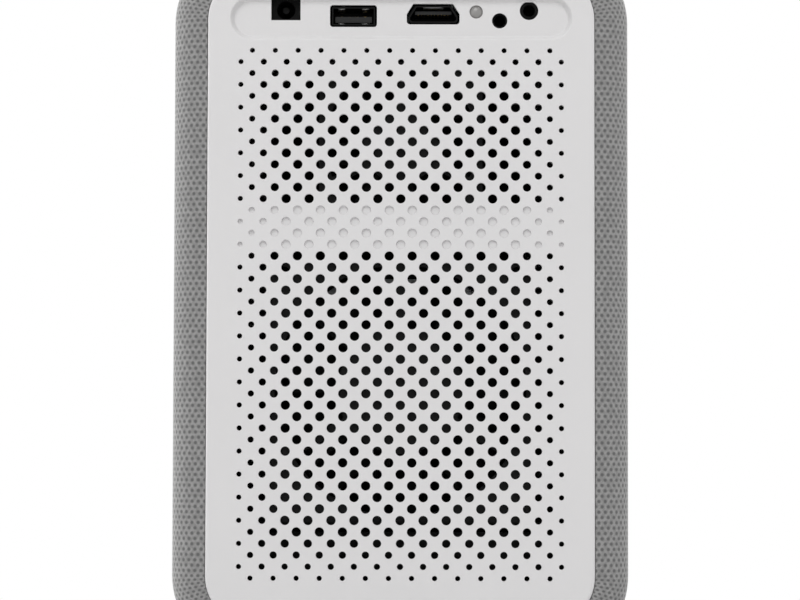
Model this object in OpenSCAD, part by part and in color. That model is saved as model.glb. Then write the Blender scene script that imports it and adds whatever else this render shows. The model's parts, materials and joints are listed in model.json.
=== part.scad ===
// Portable projector with a built-in disc player.
// A rigid sleeve wrapped in mesh fabric, closed by a front cover and a perforated rear cover.
// Frame: +Z up, the lens looks along -Y, the origin is on the floor under the middle.

/* [Body] */
// Width of the body over its fabric
body_w = 140; // [139:1:156]
// Height of the body over its fabric, without the feet
body_h = 222; // [214:1:250]
// Depth from the front face to the rear face
body_d = 160; // [158:1:176]
// Radius of the four long corners
corner_r = 26; // [22:0.5:32]
// Radius where the sides run in to the rear cover
rear_round = 10.6; // [8:0.2:12]
// Thickness of the fabric
fabric_t = 0.9; // [0.6:0.1:1.4]
// Wall of the rigid sleeve under the fabric
shell_t = 2.4; // [2:0.1:2.8]
// Height of the rubber feet under the fabric
foot_h = 2; // [1.4:0.1:4]

/* [Covers] */
// Thickness of the front cover
front_t = 3; // [2.4:0.1:3.6]
// How far the front cover stands out of the fabric
front_proud = 0.6; // [0.3:0.1:1]
// How far the rear cover stands out of the fabric
rear_proud = 1.2; // [1:0.1:1.6]
// Gap round the covers
cover_gap = 0.2; // [0.1:0.05:0.4]
// Width of the lip that the rear cover sits on
lip_w = 4; // [3:0.5:4.5]
// Rounding of the covers' outer edges
edge_round = 1.1; // [0.6:0.1:1.2]

/* [Perforation] */
// Distance between neighbouring rows and between neighbouring columns
hole_pitch = 3.5; // [3.4:0.1:4]
// Diameter of the smallest holes, at the border
hole_min_d = 1.6; // [1:0.1:1.8]
// Growth in diameter from one ring of holes to the next
hole_step_d = 0.32; // [0.2:0.02:0.4]
// Number of rings over which the holes grow
hole_rings = 4; // [2:1:5]
// Distance from the side of the rear cover to the outer column
grille_side = 10.2; // [9:0.2:14]
// Distance from the foot of the rear cover to the lowest row
grille_foot = 14.6; // [12:0.2:20]
// Distance from the port recess to the highest row
grille_top_gap = 3.2; // [3:0.1:6]
// First of the rows that are only dimples, counted from the top
blind_first = 14; // [10:1:18]
// Number of rows that are only dimples
blind_rows = 4; // [2:1:6]
// Depth of a dimple
dimple_depth = 0.9; // [0.4:0.1:1.2]

/* [Port recess] */
// Width of the recess at the surface
recess_w = 105; // [100:0.5:106]
// Height of the recess at the surface
recess_h = 13.6; // [13:0.2:15]
// Width of the sloping wall round the recess
recess_slope = 1.6; // [1:0.1:2]
// Distance from the top of the rear cover to the recess
recess_drop = 8; // [6:0.2:9]
// Thickness of the port plate
port_plate_t = 1.8; // [1.4:0.1:2.4]
// Width of the shell of the HDMI socket
hdmi_w = 15; // [14.5:0.1:15.5]
// Width of the shell of the USB socket
usb_w = 13.2; // [12.8:0.1:13.6]
// Radius of the bore of both 3.5 mm jacks
jack_bore_r = 1.8; // [1.78:0.01:1.85]
// Radius of the mouth of the power inlet
dc_bore_r = 2.8; // [2.6:0.1:2.9]

/* [Disc drive] */
// Width of the drive
drive_w = 128; // [124:0.5:128]
// Length of the drive behind the tray front
drive_l = 126; // [125.6:0.2:132]
// Height of the drive
drive_h = 12.7; // [12.7:0.1:14]
// Length of the posts that carry the drive
drive_post_h = 22.7; // [20:0.1:26]
// Radius of the disc well, for a 120 mm disc
disc_well_r = 60.9; // [60.5:0.1:61]
// Travel of the tray
tray_travel = 128; // [120:1:130]
// Travel of the pickup along its rods
sled_travel = 36; // [30:0.5:36]
// Thickness of the sheet of the casing
sheet_t = 0.8; // [0.6:0.1:0.9]

/* [Optics] */
// Outer width of the light box and of the mirror box
engine_w = 68; // [64:1:72]
// Height of the light box
light_box_h = 43; // [40:1:48]
// Height of the heatsink
heatsink_h = 28; // [22:1:32]
// Radius of the lens barrel
barrel_r = 24; // [22:0.5:25]
// Outer radius of the focus ring
ring_r = 31; // [30:0.5:32]
// Radius of the dish round the lens, at the front
dish_r = 44; // [42:0.5:46]
// Travel of the lens barrel to each side of its rest place
focus_travel = 3; // [2:0.5:3]

/* [Fans and speakers] */
// Size of the exhaust fan
exhaust_size = 80; // [70:1:84]
// Depth of the exhaust fan
exhaust_depth = 15; // [12:1:18]
// Size of the intake fan
intake_size = 50; // [40:1:52]
// Depth of the intake fan
intake_depth = 10; // [9:1:14]
// Radius of a speaker over its flange
speaker_r = 26; // [22:1:28]

/* [Keys and base] */
// Distance between neighbouring keys
key_pitch = 17; // [15:0.5:18]
// Radius of a key
key_r = 5.2; // [4.5:0.1:6]
// How far a key stands out of the key plate
key_proud = 0.7; // [0.6:0.1:1.2]
// Travel of a key
key_travel = 0.6; // [0.3:0.1:0.6]
// Length of the base plate, front to back
base_l = 132; // [126:1:134]
// Width of the base plate
base_w = 86; // [80:1:87]
// Radius of the tripod thread at its crests
tripod_r = 2.55; // [2.5:0.01:2.6]

/* [Hidden] */

$fn = 64;
more = 1;               // how far a cut runs past a surface
fit = 0.05;             // radial clearance of a running fit
loose = 0.3;            // clearance between pieces that move past each other

// Body
mid_z = foot_h + body_h / 2;
bottom_z = foot_h;
top_z = foot_h + body_h;
front_y = -body_d / 2;
rear_y = body_d / 2;
sleeve_front_y = front_y + front_proud;
sleeve_rear_y = rear_y - rear_proud;
skin_t = fabric_t + shell_t;
inner_x = body_w / 2 - skin_t;
floor_z = bottom_z + skin_t;
roof_z = top_z - skin_t;
shell_bottom_z = bottom_z + fabric_t;
shell_top_z = top_z - fabric_t;
side_y1 = sleeve_rear_y - rear_round;   // the sides run straight back to here

// Covers
rear_t = rear_proud + fabric_t;
rear_seat_y = rear_y - rear_t;
rear_margin = rear_round + cover_gap;
rear_w = body_w - 2 * rear_margin;
rear_h = body_h - 2 * rear_margin;
rear_cover_r = corner_r - rear_margin;
front_margin = skin_t + loose;
front_w = body_w - 2 * front_margin;
front_h = body_h - 2 * front_margin;
front_cover_r = corner_r - front_margin;
front_seat_y = front_y + front_t;
ledge_w = 1.6;
ledge_t = 2;
lip_x = rear_w / 2 - lip_w;             // inner edge of the rear opening
hook_w = 8;
hook_spread = 55;
recess_steps = 8;
dimple_taper = 0.85;                    // foot of a dimple over its mouth

// Port recess and perforation
recess_z1 = mid_z + rear_h / 2 - recess_drop;
recess_z0 = recess_z1 - recess_h;
recess_z = (recess_z0 + recess_z1) / 2;
grille_z1 = recess_z0 - grille_top_gap;
grille_z0 = mid_z - rear_h / 2 + grille_foot;
half_cols = floor((rear_w / 2 - grille_side) / hole_pitch + 0.01);
rows = 2 * floor((grille_z1 - grille_z0) / (2 * hole_pitch) + 0.01) + 1;
cols = 2 * half_cols + 1;
function row_z(row) = grille_z1 - row * hole_pitch;
function col_x(col) = (col - half_cols) * hole_pitch;
function ring_of(row, col) = min(row, rows - 1 - row, col, cols - 1 - col, hole_rings);
function hole_d(row, col) = hole_min_d + hole_step_d * ring_of(row, col);
function is_blind(row) = row >= blind_first && row < blind_first + blind_rows;

// Ports, as places from the middle of the recess
hdmi_x = -9.8;
hdmi_z = recess_z + 1.52;
usb_x = 14.65;
usb_z = recess_z + 0.9;
dc_x = 35.4;
dc_z = recess_z + 2.9;
lens_led_x = -23;
lens_led_z = recess_z + 2.2;
av_x = -30.2;
av_z = recess_z - 0.53;
audio_x = -39.2;
audio_z = recess_z + 2.58;
port_rim = 0.6;                         // cut-out outside a socket's shell
hdmi_h = 5.2;
usb_h = 5.6;
dc_w = 9;
dc_below = 3.35;                        // from the inlet's axis to the foot of its cut-out
dc_above = 3.6;
led_r = 2;
av_hole_r = 2.35;
audio_hole_r = 2.85;
port_plate_y = rear_seat_y - port_plate_t;
socket_face_y = rear_seat_y - 0.7;
jack_face_y = port_plate_y - 0.3;
collar_face_y = rear_seat_y - 0.3;      // end of the collars that fill the round holes
collar_gap = 0.1;
tongue_setback = 1.5;                   // from a socket's face to its tongue
socket_l = 14;
pcb_t = 1.6;
board_z = recess_z + 6.6;               // underside of the main board
board_y1 = port_plate_y - 2;
board_l = 44;
board_half = inner_x - 16.7;

// Disc drive, in its own frame: its foot, its front edge and its middle
drive_z = floor_z + drive_post_h;
bezel_setback = 0.4;
bezel_t = 5.3;
drive_y = front_y + bezel_setback + bezel_t - 0.2;
tray_front = 0.2;
tray_l = 2 * disc_well_r + 2.8;
disc_y = tray_front + 1.3 + disc_well_r;
casing_x = drive_w / 2;
casing_in_x = casing_x - sheet_t;
tray_top_x = casing_in_x - 0.4;
rail_x1 = casing_in_x - loose;
rail_t = 1;
rail_x0 = rail_x1 - rail_t;
rail_flange = 1.7;
rail_l = 110;
rail_z0 = sheet_t + 0.8;
rail_z1 = rail_z0 + 5.4;
tongue_x = rail_x0 - loose;
tray_low_x = rail_x0 - rail_flange - loose;
tray_floor_z = rail_z1 + 0.6;           // top of the tray's floor, under the disc
tray_floor_t = 1.4;
tray_top_z = drive_h - sheet_t - 0.5;
tray_foot_z = sheet_t + 1;
mini_well_r = 40.5;                     // inner well, for an 80 mm disc
mini_well_d = 0.5;
bezel_w = drive_w - sheet_t;
bezel_h = drive_h - 0.1;
slot_gap = 0.4;
eject_x = 38;
eject_w = 12;
eject_h = 4;
eject_travel = 0.7;

// Traverse: the pickup runs from the hub to the rear right corner of the tray
traverse_turn = -45;
traverse_z = sheet_t + 0.6;
traverse_top = traverse_z + sheet_t;
rod_r = 1.2;
rod_x = 13;
rod_z = traverse_top + 2.1;
rod_y0 = 11.6;
lens_y = 22;                            // from the hub's axis to the pickup lens at rest
sled_back = 7.5;
sled_fore = 6.5;
sled_x = 15.2;
rod_y1 = lens_y + sled_travel + sled_fore + 1.5;
screw_x = 18;
screw_y1 = lens_y + sled_travel + 4.9;
hub_r = 12;
turntable_z = tray_floor_z + 0.8;
hub_hole_r = 14;
nose_r = 7.4;
pin_r = 1.5;
boss_x = 13;
bosses_y = [-14, 7.4];

// Chassis and optics
chassis_t = 1.2;
shelf_t = 2;
shelf_w = 4.5;
shelf_y0 = front_y + 20;
shelf_y1 = side_y1 - 2;
guide_shelf_l = 16;
chassis_z = drive_z + drive_h + 0.5 + shelf_t;
chassis_top = chassis_z + chassis_t;
chassis_x = inner_x - ledge_w - loose;
optic_y = 10;                           // the vertical light path
heatsink_top = chassis_top + heatsink_h;
heatsink_w = engine_w + 12;
heatsink_l = 72;
heatsink_plate = 4;
fins = 16;
fin_t = 1.2;
ear_t = 2.4;
ear_x = heatsink_w / 2 - 3;
ear_y = 26;
condenser_r = 27;
condenser_rise = 10;                    // from the heatsink to the lens's seat
box_wall = 2;
box_top = heatsink_top + light_box_h;
lcd_t = 5;
mirror_z = box_top + lcd_t;
mirror_foot = 5.6;
fresnel_t = 2;
fresnel_gap = 0.2;
lens_z = mirror_z + engine_w / 2 + mirror_foot;
engine_y0 = optic_y - engine_w / 2;
engine_y1 = optic_y + engine_w / 2;
guide_t = 3;
guide_r = barrel_r + fit + guide_t;
ring_y0 = front_y + 3;
ring_l = 27;
ring_head_l = 13;
ring_rim = 0.6;
barrel_y0 = ring_y0 + 6;
barrel_l = 41;
guide_y0 = ring_y0 + 11.3;
grips = 36;

// Fans, guide and speakers
shaft_r = 1;
fan_y1 = rear_seat_y - loose;
exhaust_y0 = fan_y1 - exhaust_depth;
exhaust_z = chassis_top + exhaust_size / 2;
guide_z = row_z(blind_first + (blind_rows - 1) / 2);
air_guide_t = 2;
intake_y0 = fan_y1 - intake_depth;
intake_z = guide_z + air_guide_t / 2 + intake_size / 2;
speaker_y = -30;
speaker_z = chassis_top + speaker_r + 17.6;
speaker_hole_r = 1.5;
speaker_hole_pitch = 6;
speaker_rings = 3;
speaker_hole_margin = 6;

// Keys, posts and base
key_y = -30;
key_plate_t = 1.2;
key_plate_w = 90;
key_plate_l = 20;
key_flange = 0.9;
key_flange_r = key_r + 0.8;
key_hole_r = key_r + 0.3;
key_well_r = key_flange_r + 0.5;
key_board_t = 1.2;
key_board_z = roof_z - 7.1;
switch_h = 1.4;
base_t = 2;
base_z = shell_bottom_z - base_t;
base_r = 10;
foot_r = 7;
foot_x = 33;
foot_y = base_l / 2 - 9;
foot_pocket = 1;
post_x = 36;
post_y = 46;
post_r = 3.5;
base_screw_r = 1.5;
base_hole_r = 1.7;
tripod_outer_r = 4.5;
tripod_l = 10;
boss_r = 7;
small_screw_r = 1.1;
small_hole_r = 1.15;
small_head_r = 2.2;
small_head_h = 1.4;
small_post_r = 3;
main_post_x = 38;
main_posts_y = [board_y1 - 38, board_y1 - 17];
key_post_x = 1.5 * key_pitch;
decoder_half = 31;
decoder_y0 = side_y1 - 58;
decoder_y1 = side_y1 + 4;
decoder_post_x = decoder_half - 4;
decoder_posts_y = [decoder_y0 + 5, decoder_y1 - 5];
decoder_z = floor_z + 4;

// ---------- drawing aids ----------

// The corner of a square outside a rounding of radius r; (x, y) is the square's corner
module corner_cut(x, y, r, sx, sy) {
    translate([x - sx * r, y - sy * r])
        difference() {
            mirror([sx < 0 ? 1 : 0, 0])
                mirror([0, sy < 0 ? 1 : 0])
                    square(r + more);
            circle(r);
        }
}

// Rectangle with round corners, centred
module round_rect(w, h, r) {
    difference() {
        square([w, h], center = true);
        for (sx = [-1, 1], sy = [-1, 1])
            corner_cut(sx * w / 2, sy * h / 2, r, sx, sy);
    }
}

// Box from its lowest to its highest corner
module block(low, high) {
    translate(low)
        cube(high - low);
}

// Box from its lowest to its highest corner, and its mirror image across X = 0
module block_pair(low, high) {
    block(low, high);
    mirror([1, 0, 0])
        block(low, high);
}

// A drawing made in (x, z), stood upright from y0 to y1
module upright(y0, y1) {
    translate([0, y1, 0])
        rotate([90, 0, 0])
            linear_extrude(y1 - y0)
                children();
}

// A drawing made in (radius, y), turned about the Y axis through (x, z)
module turned(x, z) {
    translate([x, 0, z])
        rotate([-90, 0, 0])
            rotate_extrude()
                children();
}

// Cylinder along Y through (x, z)
module rod_y(x, z, r, y0, y1) {
    translate([x, y0, z])
        rotate([-90, 0, 0])
            cylinder(r = r, h = y1 - y0);
}

// Cylinder along Z through (x, y)
module rod_z(x, y, r, z0, z1) {
    translate([x, y, z0])
        cylinder(r = r, h = z1 - z0);
}

// Sweeps a section (u, y) round a rectangle with round corners that stands in the XZ plane.
// u is counted from the centre of each corner's arc.
module ring_sweep(w, h, r) {
    straight = [h - 2 * r, w - 2 * r];
    reach = [w / 2 - r, h / 2 - r];
    translate([0, 0, mid_z])
        rotate([-90, 0, 0])
            for (k = [0:3]) {
                sx = (k == 0 || k == 3) ? 1 : -1;
                sy = (k < 2) ? 1 : -1;
                translate([sx * reach[0], sy * reach[1], 0])
                    rotate([0, 0, 90 * k])
                        rotate_extrude(angle = 90)
                            children();
                rotate([0, 0, 90 * k])
                    translate([reach[k % 2], 0, 0])
                        rotate([90, 0, 0])
                            linear_extrude(straight[k % 2], center = true)
                                children();
            }
}

// ---------- sleeve ----------

// Section of everything inside a surface that lies a given inset under the fabric's outside
module wall_section(inset, u0) {
    r = corner_r - inset;
    y0 = sleeve_front_y + inset;
    y1 = sleeve_rear_y - inset;
    front_r = skin_t - inset;
    difference() {
        translate([u0, y0])
            square([r - u0, y1 - y0]);
        corner_cut(r, y1, rear_round - inset, 1, 1);
        if (front_r > 0)
            corner_cut(r, y0, front_r, 1, -1);
    }
}

// Section between two insets, open at the front and at the rear
module skin_section(outer, inner, u0) {
    difference() {
        wall_section(outer, u0);
        wall_section(inner, 0);
        translate([0, sleeve_front_y - more])
            square([corner_r - skin_t, body_d / 2]);
    }
}

module pill(w, h) {
    round_rect(w, h, h / 2);
}

module fabric_wrap() {
    color("gray")
        difference() {
            ring_sweep(body_w, body_h, corner_r)
                skin_section(0, fabric_t, corner_r - rear_round);
            translate([0, 0, bottom_z - more])
                linear_extrude(skin_t + more)
                    round_rect(base_w + 2 * cover_gap, base_l + 2 * cover_gap, base_r);
            translate([0, key_y, shell_top_z - more])
                linear_extrude(skin_t + more)
                    pill(key_plate_w + 2 * cover_gap, key_plate_l + 2 * cover_gap);
        }
}

// Holes in front of both speakers, on a hexagonal grid inside a circle
module speaker_holes() {
    for (i = [-speaker_rings:speaker_rings], j = [-speaker_rings:speaker_rings]) {
        along = (i + j / 2) * speaker_hole_pitch;
        up = j * speaker_hole_pitch * sin(60);
        if (norm([along, up]) < speaker_r - speaker_hole_margin)
            translate([-inner_x - skin_t - more, speaker_y + along, speaker_z + up])
                rotate([0, 90, 0])
                    cylinder(r = speaker_hole_r, h = 2 * (inner_x + skin_t + more));
    }
}

module main_shell() {
    color("dimgray")
        difference() {
            union() {
                ring_sweep(body_w, body_h, corner_r)
                    skin_section(fabric_t, skin_t, corner_r - rear_margin - lip_w);
                // ledge behind the front cover
                ring_sweep(body_w, body_h, corner_r)
                    translate([corner_r - skin_t - ledge_w, front_seat_y])
                        square([ledge_w + shell_t / 2, ledge_t]);
                // shelves for the chassis plate and for the air guide
                block_pair([inner_x - shelf_w, shelf_y0, chassis_z - shelf_t],
                           [inner_x + shell_t / 2, shelf_y1, chassis_z]);
                block_pair([inner_x - shelf_w, shelf_y1 - guide_shelf_l,
                            guide_z - air_guide_t / 2 - shelf_t],
                           [inner_x + shell_t / 2, shelf_y1, guide_z - air_guide_t / 2]);
                // posts under the drive and boss of the tripod insert
                for (x = [-post_x, post_x], y = [-post_y, post_y])
                    rod_z(x, y, post_r, floor_z - shell_t / 2, drive_z);
                rod_z(0, 0, boss_r, floor_z - shell_t / 2, base_z + tripod_l + 3);
                // standoffs of the decoder board
                for (x = [-decoder_post_x, decoder_post_x], y = decoder_posts_y)
                    rod_z(x, y, small_post_r, floor_z - shell_t / 2, decoder_z);
                // posts that the main board and the key board hang from
                for (x = [-main_post_x, main_post_x], y = main_posts_y)
                    rod_z(x, y, small_post_r, board_z + pcb_t, roof_z + shell_t / 2);
                for (x = [-key_post_x, key_post_x])
                    rod_z(x, key_y, small_screw_r + 1, key_board_z + key_board_t,
                          roof_z + shell_t / 2);
            }
            speaker_holes();
            for (x = [-post_x, post_x], y = [-post_y, post_y])
                rod_z(x, y, base_hole_r, shell_bottom_z - more, drive_z + more);
            rod_z(0, 0, tripod_outer_r + fit, shell_bottom_z - more, base_z + tripod_l + fit);
            for (x = [-decoder_post_x, decoder_post_x], y = decoder_posts_y)
                rod_z(x, y, small_hole_r, floor_z, decoder_z + more);
            for (x = [-main_post_x, main_post_x], y = main_posts_y)
                rod_z(x, y, small_hole_r, board_z, roof_z - 4);
            for (x = [-key_post_x, key_post_x])
                rod_z(x, key_y, small_hole_r, key_board_z, roof_z);
            for (i = [-2:2])
                rod_z(i * key_pitch, key_y, key_well_r, roof_z - more, top_z);
        }
}

// ---------- covers ----------

// Plate with a rounded outer edge on its far side, standing in the XZ plane
module edged_plate(w, h, r, y0, y1) {
    ring_sweep(w, h, r)
        difference() {
            translate([0, y0])
                square([r, y1 - y0]);
            corner_cut(r, y1, edge_round, 1, 1);
        }
    upright(y0, y1)
        translate([0, mid_z])
            square([w - 2 * r, h - 2 * r], center = true);
}

// Half section of the recess: its wall is a soft S from the floor to the surface
module recess_section() {
    r0 = recess_h / 2 - recess_slope;
    wall = [
        for (i = [0:recess_steps])
            [r0 + recess_slope * i / recess_steps,
             rear_seat_y + rear_t * (1 - cos(180 * i / recess_steps)) / 2]
    ];
    polygon(concat(
        [[0, rear_seat_y - more], [r0, rear_seat_y - more]],
        wall,
        [[recess_h / 2, rear_y + more], [0, rear_y + more]]
    ));
}

// Solid that fills the recess
module recess_solid() {
    span = recess_w - recess_h;
    for (side = [0, 1])
        mirror([side, 0, 0])
            translate([span / 2, 0, recess_z])
                rotate([-90, 0, 0])
                    rotate([0, 0, -90])
                        rotate_extrude(angle = 180)
                            recess_section();
    translate([0, 0, recess_z])
        rotate([-90, 0, 0])
            rotate([90, 0, 90])
                linear_extrude(span, center = true) {
                    recess_section();
                    mirror([1, 0])
                        recess_section();
                }
}

// Clips that snap behind the lip of the rear opening
module rear_hooks() {
    arm_t = 1.4;
    barb = 1;
    lip_y = sleeve_rear_y - skin_t;
    for (dz = [-hook_spread, 0, hook_spread]) {
        block_pair([lip_x - cover_gap - arm_t, lip_y - 3, mid_z + dz - hook_w / 2],
                   [lip_x - cover_gap, rear_seat_y + rear_t / 2, mid_z + dz + hook_w / 2]);
        block_pair([lip_x - cover_gap - arm_t, lip_y - 3, mid_z + dz - hook_w / 2],
                   [lip_x - cover_gap + barb, lip_y - cover_gap, mid_z + dz + hook_w / 2]);
    }
}

module rear_cover() {
    color("gainsboro")
        difference() {
            union() {
                edged_plate(rear_w, rear_h, rear_cover_r, rear_seat_y, rear_y);
                rear_hooks();
            }
            recess_solid();
            // the power inlet's cut-out runs up into the sloping wall
            block([dc_x - dc_w / 2, rear_seat_y - more, dc_z - dc_below],
                  [dc_x + dc_w / 2, rear_y + more, dc_z + dc_above]);
            for (row = [0:rows - 1], col = [0:cols - 1])
                if ((row + col) % 2 == 1 && !is_blind(row))
                    rod_y(col_x(col), row_z(row), hole_d(row, col) / 2,
                          rear_seat_y - more, rear_y + more);
            for (row = [blind_first:blind_first + blind_rows - 1], col = [0:cols - 1])
                if ((row + col) % 2 == 1)
                    translate([col_x(col), rear_y - dimple_depth, row_z(row)])
                        rotate([-90, 0, 0])
                            cylinder(d1 = hole_d(row, col) * dimple_taper, d2 = hole_d(row, col),
                                     h = dimple_depth + 0.01);
        }
}

// Outline of an HDMI socket, wide side down
module hdmi_outline(grow) {
    w = hdmi_w / 2 + grow;
    h = hdmi_h / 2 + grow;
    slant = 2;
    difference() {
        polygon([[-w, -h], [w, -h], [w, h - 3.2], [w - slant, h], [slant - w, h], [-w, h - 3.2]]);
        for (sx = [-1, 1])
            corner_cut(sx * w, -h, 1, sx, -1);
    }
}

module port_plate() {
    color("gainsboro")
        upright(port_plate_y, rear_seat_y)
            difference() {
                translate([0, recess_z])
                    pill(recess_w + 2, recess_h + 2);
                translate([hdmi_x, hdmi_z])
                    hdmi_outline(port_rim);
                translate([usb_x, usb_z])
                    round_rect(usb_w + 2 * port_rim, usb_h + 2 * port_rim, 0.9);
                translate([dc_x - dc_w / 2, dc_z - dc_below])
                    square([dc_w, dc_below + dc_above]);
                translate([lens_led_x, lens_led_z])
                    circle(led_r + fit);
                translate([av_x, av_z])
                    circle(av_hole_r);
                translate([audio_x, audio_z])
                    circle(audio_hole_r);
            }
}

module front_cover() {
    slot_w = bezel_w + 2 * slot_gap;
    slot_h = bezel_h + 2 * slot_gap;
    color("gainsboro")
        difference() {
            mirror([0, 1, 0])
                edged_plate(front_w, front_h, front_cover_r, -front_seat_y, -front_y);
            rod_y(0, lens_z, dish_r + 2.2, front_y - more, front_seat_y + more);
            upright(front_y - more, front_seat_y + more)
                translate([0, drive_z + drive_h / 2])
                    round_rect(slot_w, slot_h, 1);
        }
}

module lens_bezel() {
    rim_r = dish_r + 2;
    floor_r = ring_r + 5;
    bore_r = ring_r + 0.5;
    floor_y = front_y + 9;
    wall = 1.8;
    color("#2a2a2c")
        turned(0, lens_z)
            polygon([
                [dish_r, front_y], [rim_r, front_y], [rim_r, front_seat_y],
                [rim_r + 3, front_seat_y], [rim_r + 3, front_seat_y + 1.6],
                [rim_r - 3, front_seat_y + 1.6], [floor_r + wall, floor_y + wall],
                [bore_r, floor_y + wall], [bore_r, floor_y], [floor_r, floor_y]
            ]);
}

// ---------- base ----------

module base_plate() {
    color("#3a3a3c")
        difference() {
            translate([0, 0, base_z])
                linear_extrude(base_t)
                    round_rect(base_w, base_l, base_r);
            for (x = [-foot_x, foot_x], y = [-foot_y, foot_y])
                rod_z(x, y, foot_r + fit, base_z - more, base_z + foot_pocket);
            for (x = [-post_x, post_x], y = [-post_y, post_y]) {
                rod_z(x, y, base_hole_r, base_z - more, shell_bottom_z + more);
                translate([x, y, base_z - 0.01])
                    cylinder(r1 = 3.3, r2 = base_hole_r, h = 1.6);
            }
            rod_z(0, 0, tripod_outer_r + fit, base_z - more, shell_bottom_z + more);
        }
}

module rubber_feet() {
    color("#1c1c1c")
        for (x = [-foot_x, foot_x], y = [-foot_y, foot_y])
            translate([x, y, 0])
                rotate_extrude()
                    polygon([[0, 0], [foot_r - 1, 0], [foot_r, 0.5],
                             [foot_r, base_z + foot_pocket], [0, base_z + foot_pocket]]);
}

module tripod_insert() {
    color("goldenrod")
        difference() {
            rod_z(0, 0, tripod_outer_r, base_z, base_z + tripod_l);
            rod_z(0, 0, tripod_r, base_z - more, base_z + tripod_l - 1);
        }
}

module base_screws() {
    color("silver")
        for (x = [-post_x, post_x], y = [-post_y, post_y]) {
            translate([x, y, base_z])
                difference() {
                    cylinder(r1 = 3, r2 = base_screw_r, h = 1.5);
                    translate([-2, -0.3, -more])
                        cube([4, 0.6, more + 0.7]);
                    translate([-0.3, -2, -more])
                        cube([0.6, 4, more + 0.7]);
                }
            rod_z(x, y, base_screw_r, base_z + 1.4, drive_z + sheet_t);
        }
}

// One small screw with its head at z, pointing up or down
module small_screw(x, y, z, up, l) {
    translate([x, y, z])
        mirror([0, 0, up ? 0 : 1])
            difference() {
                union() {
                    translate([0, 0, -small_head_h])
                        cylinder(r = small_head_r, h = small_head_h);
                    cylinder(r = small_screw_r, h = l);
                }
                for (turn = [0, 90])
                    rotate([0, 0, turn])
                        translate([-1.4, -0.25, -small_head_h - more])
                            cube([2.8, 0.5, more + 0.7]);
            }
}

module small_screws() {
    color("silver") {
        for (x = [-main_post_x, main_post_x], y = main_posts_y)
            small_screw(x, y, board_z, true, 8);
        for (x = [-key_post_x, key_post_x])
            small_screw(x, key_y, key_board_z, true, 5);
        for (x = [-decoder_post_x, decoder_post_x], y = decoder_posts_y)
            small_screw(x, y, decoder_z + pcb_t, false, 5);
        for (x = [-ear_x, ear_x], y = [-ear_y, ear_y])
            small_screw(x, optic_y + y, heatsink_top + ear_t, false, ear_t + 3);
    }
}

// ---------- keys ----------

module key_plate() {
    color("#2a2a2c")
        difference() {
            translate([0, key_y, shell_top_z])
                linear_extrude(key_plate_t)
                    pill(key_plate_w, key_plate_l);
            for (i = [-2:2])
                rod_z(i * key_pitch, key_y, key_hole_r, shell_top_z - more, top_z + more);
        }
}

// A key: a dished cap, a flange under the plate and a stem over its switch
module key(i) {
    plate_top = shell_top_z + key_plate_t;
    cap_top = plate_top + key_proud;
    flange_top = shell_top_z - 0.1;
    switch_top = key_board_z + key_board_t + switch_h;
    color("#48484c")
        translate([i * key_pitch, key_y, 0])
            rotate_extrude()
                difference() {
                    polygon([
                        [0, switch_top + key_travel + 0.1], [1.5, switch_top + key_travel + 0.1],
                        [1.5, flange_top - key_flange], [key_flange_r, flange_top - key_flange],
                        [key_flange_r, flange_top], [key_r, flange_top],
                        [key_r, cap_top - 0.3], [key_r - 0.3, cap_top], [0, cap_top]
                    ]);
                    translate([0, cap_top + 19.7])
                        circle(20, $fn = 128);
                }
}

module key_board() {
    color("darkgreen")
        difference() {
            translate([0, key_y, key_board_z])
                linear_extrude(key_board_t)
                    round_rect(key_plate_w, key_plate_l - 4, 1);
            for (x = [-key_post_x, key_post_x])
                rod_z(x, key_y, small_screw_r + 0.2, key_board_z - more, roof_z);
        }
    color("silver")
        for (i = [-2:2]) {
            block([i * key_pitch - 2.6, key_y - 2.6, key_board_z + key_board_t],
                  [i * key_pitch + 2.6, key_y + 2.6, key_board_z + key_board_t + 0.9]);
            rod_z(i * key_pitch, key_y, 1.2, key_board_z + key_board_t,
                  key_board_z + key_board_t + switch_h);
        }
}

// ---------- lens ----------

module focus_ring() {
    inner_r = barrel_r + ring_rim;
    bore_r = guide_r + fit;
    skirt_r = ring_r - 1;
    color("#1e1e20") {
        turned(0, lens_z)
            polygon([
                [inner_r + 1, ring_y0], [ring_r - 1.2, ring_y0], [ring_r - 0.4, ring_y0 + 0.8],
                [ring_r - 0.4, ring_y0 + ring_head_l], [skirt_r, ring_y0 + ring_head_l],
                [skirt_r, ring_y0 + ring_l], [bore_r, ring_y0 + ring_l],
                [bore_r, ring_y0 + 11], [inner_r, ring_y0 + 11], [inner_r, ring_y0 + 1]
            ]);
        for (i = [0:grips - 1])
            translate([0, 0, lens_z])
                rotate([0, 360 * i / grips, 0])
                    rod_y(ring_r - 0.8, 0, 0.8, ring_y0 + 1.4, ring_y0 + ring_head_l - 1);
    }
}

module lens_barrel() {
    bore_r = barrel_r - 2.5;
    y1 = barrel_y0 + barrel_l;
    color("#1a1a1c")
        turned(0, lens_z)
            polygon([
                [bore_r, barrel_y0], [barrel_r, barrel_y0], [barrel_r, y1], [bore_r - 3, y1],
                [bore_r - 3, y1 - 3], [bore_r - 2, y1 - 3], [bore_r - 2, barrel_y0 + 10],
                [bore_r - 1, barrel_y0 + 10], [bore_r - 1, barrel_y0 + 1.6],
                [bore_r, barrel_y0 + 0.6]
            ]);
}

// Half section of a lens with one bulging face towards -Y and a flat back
module lens_section(r, y, edge, bulge) {
    sphere_r = (r * r + bulge * bulge) / (2 * bulge);
    intersection() {
        translate([0, y - bulge])
            square([r, bulge + edge]);
        translate([0, y - bulge + sphere_r])
            circle(sphere_r, $fn = 180);
    }
}

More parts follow.
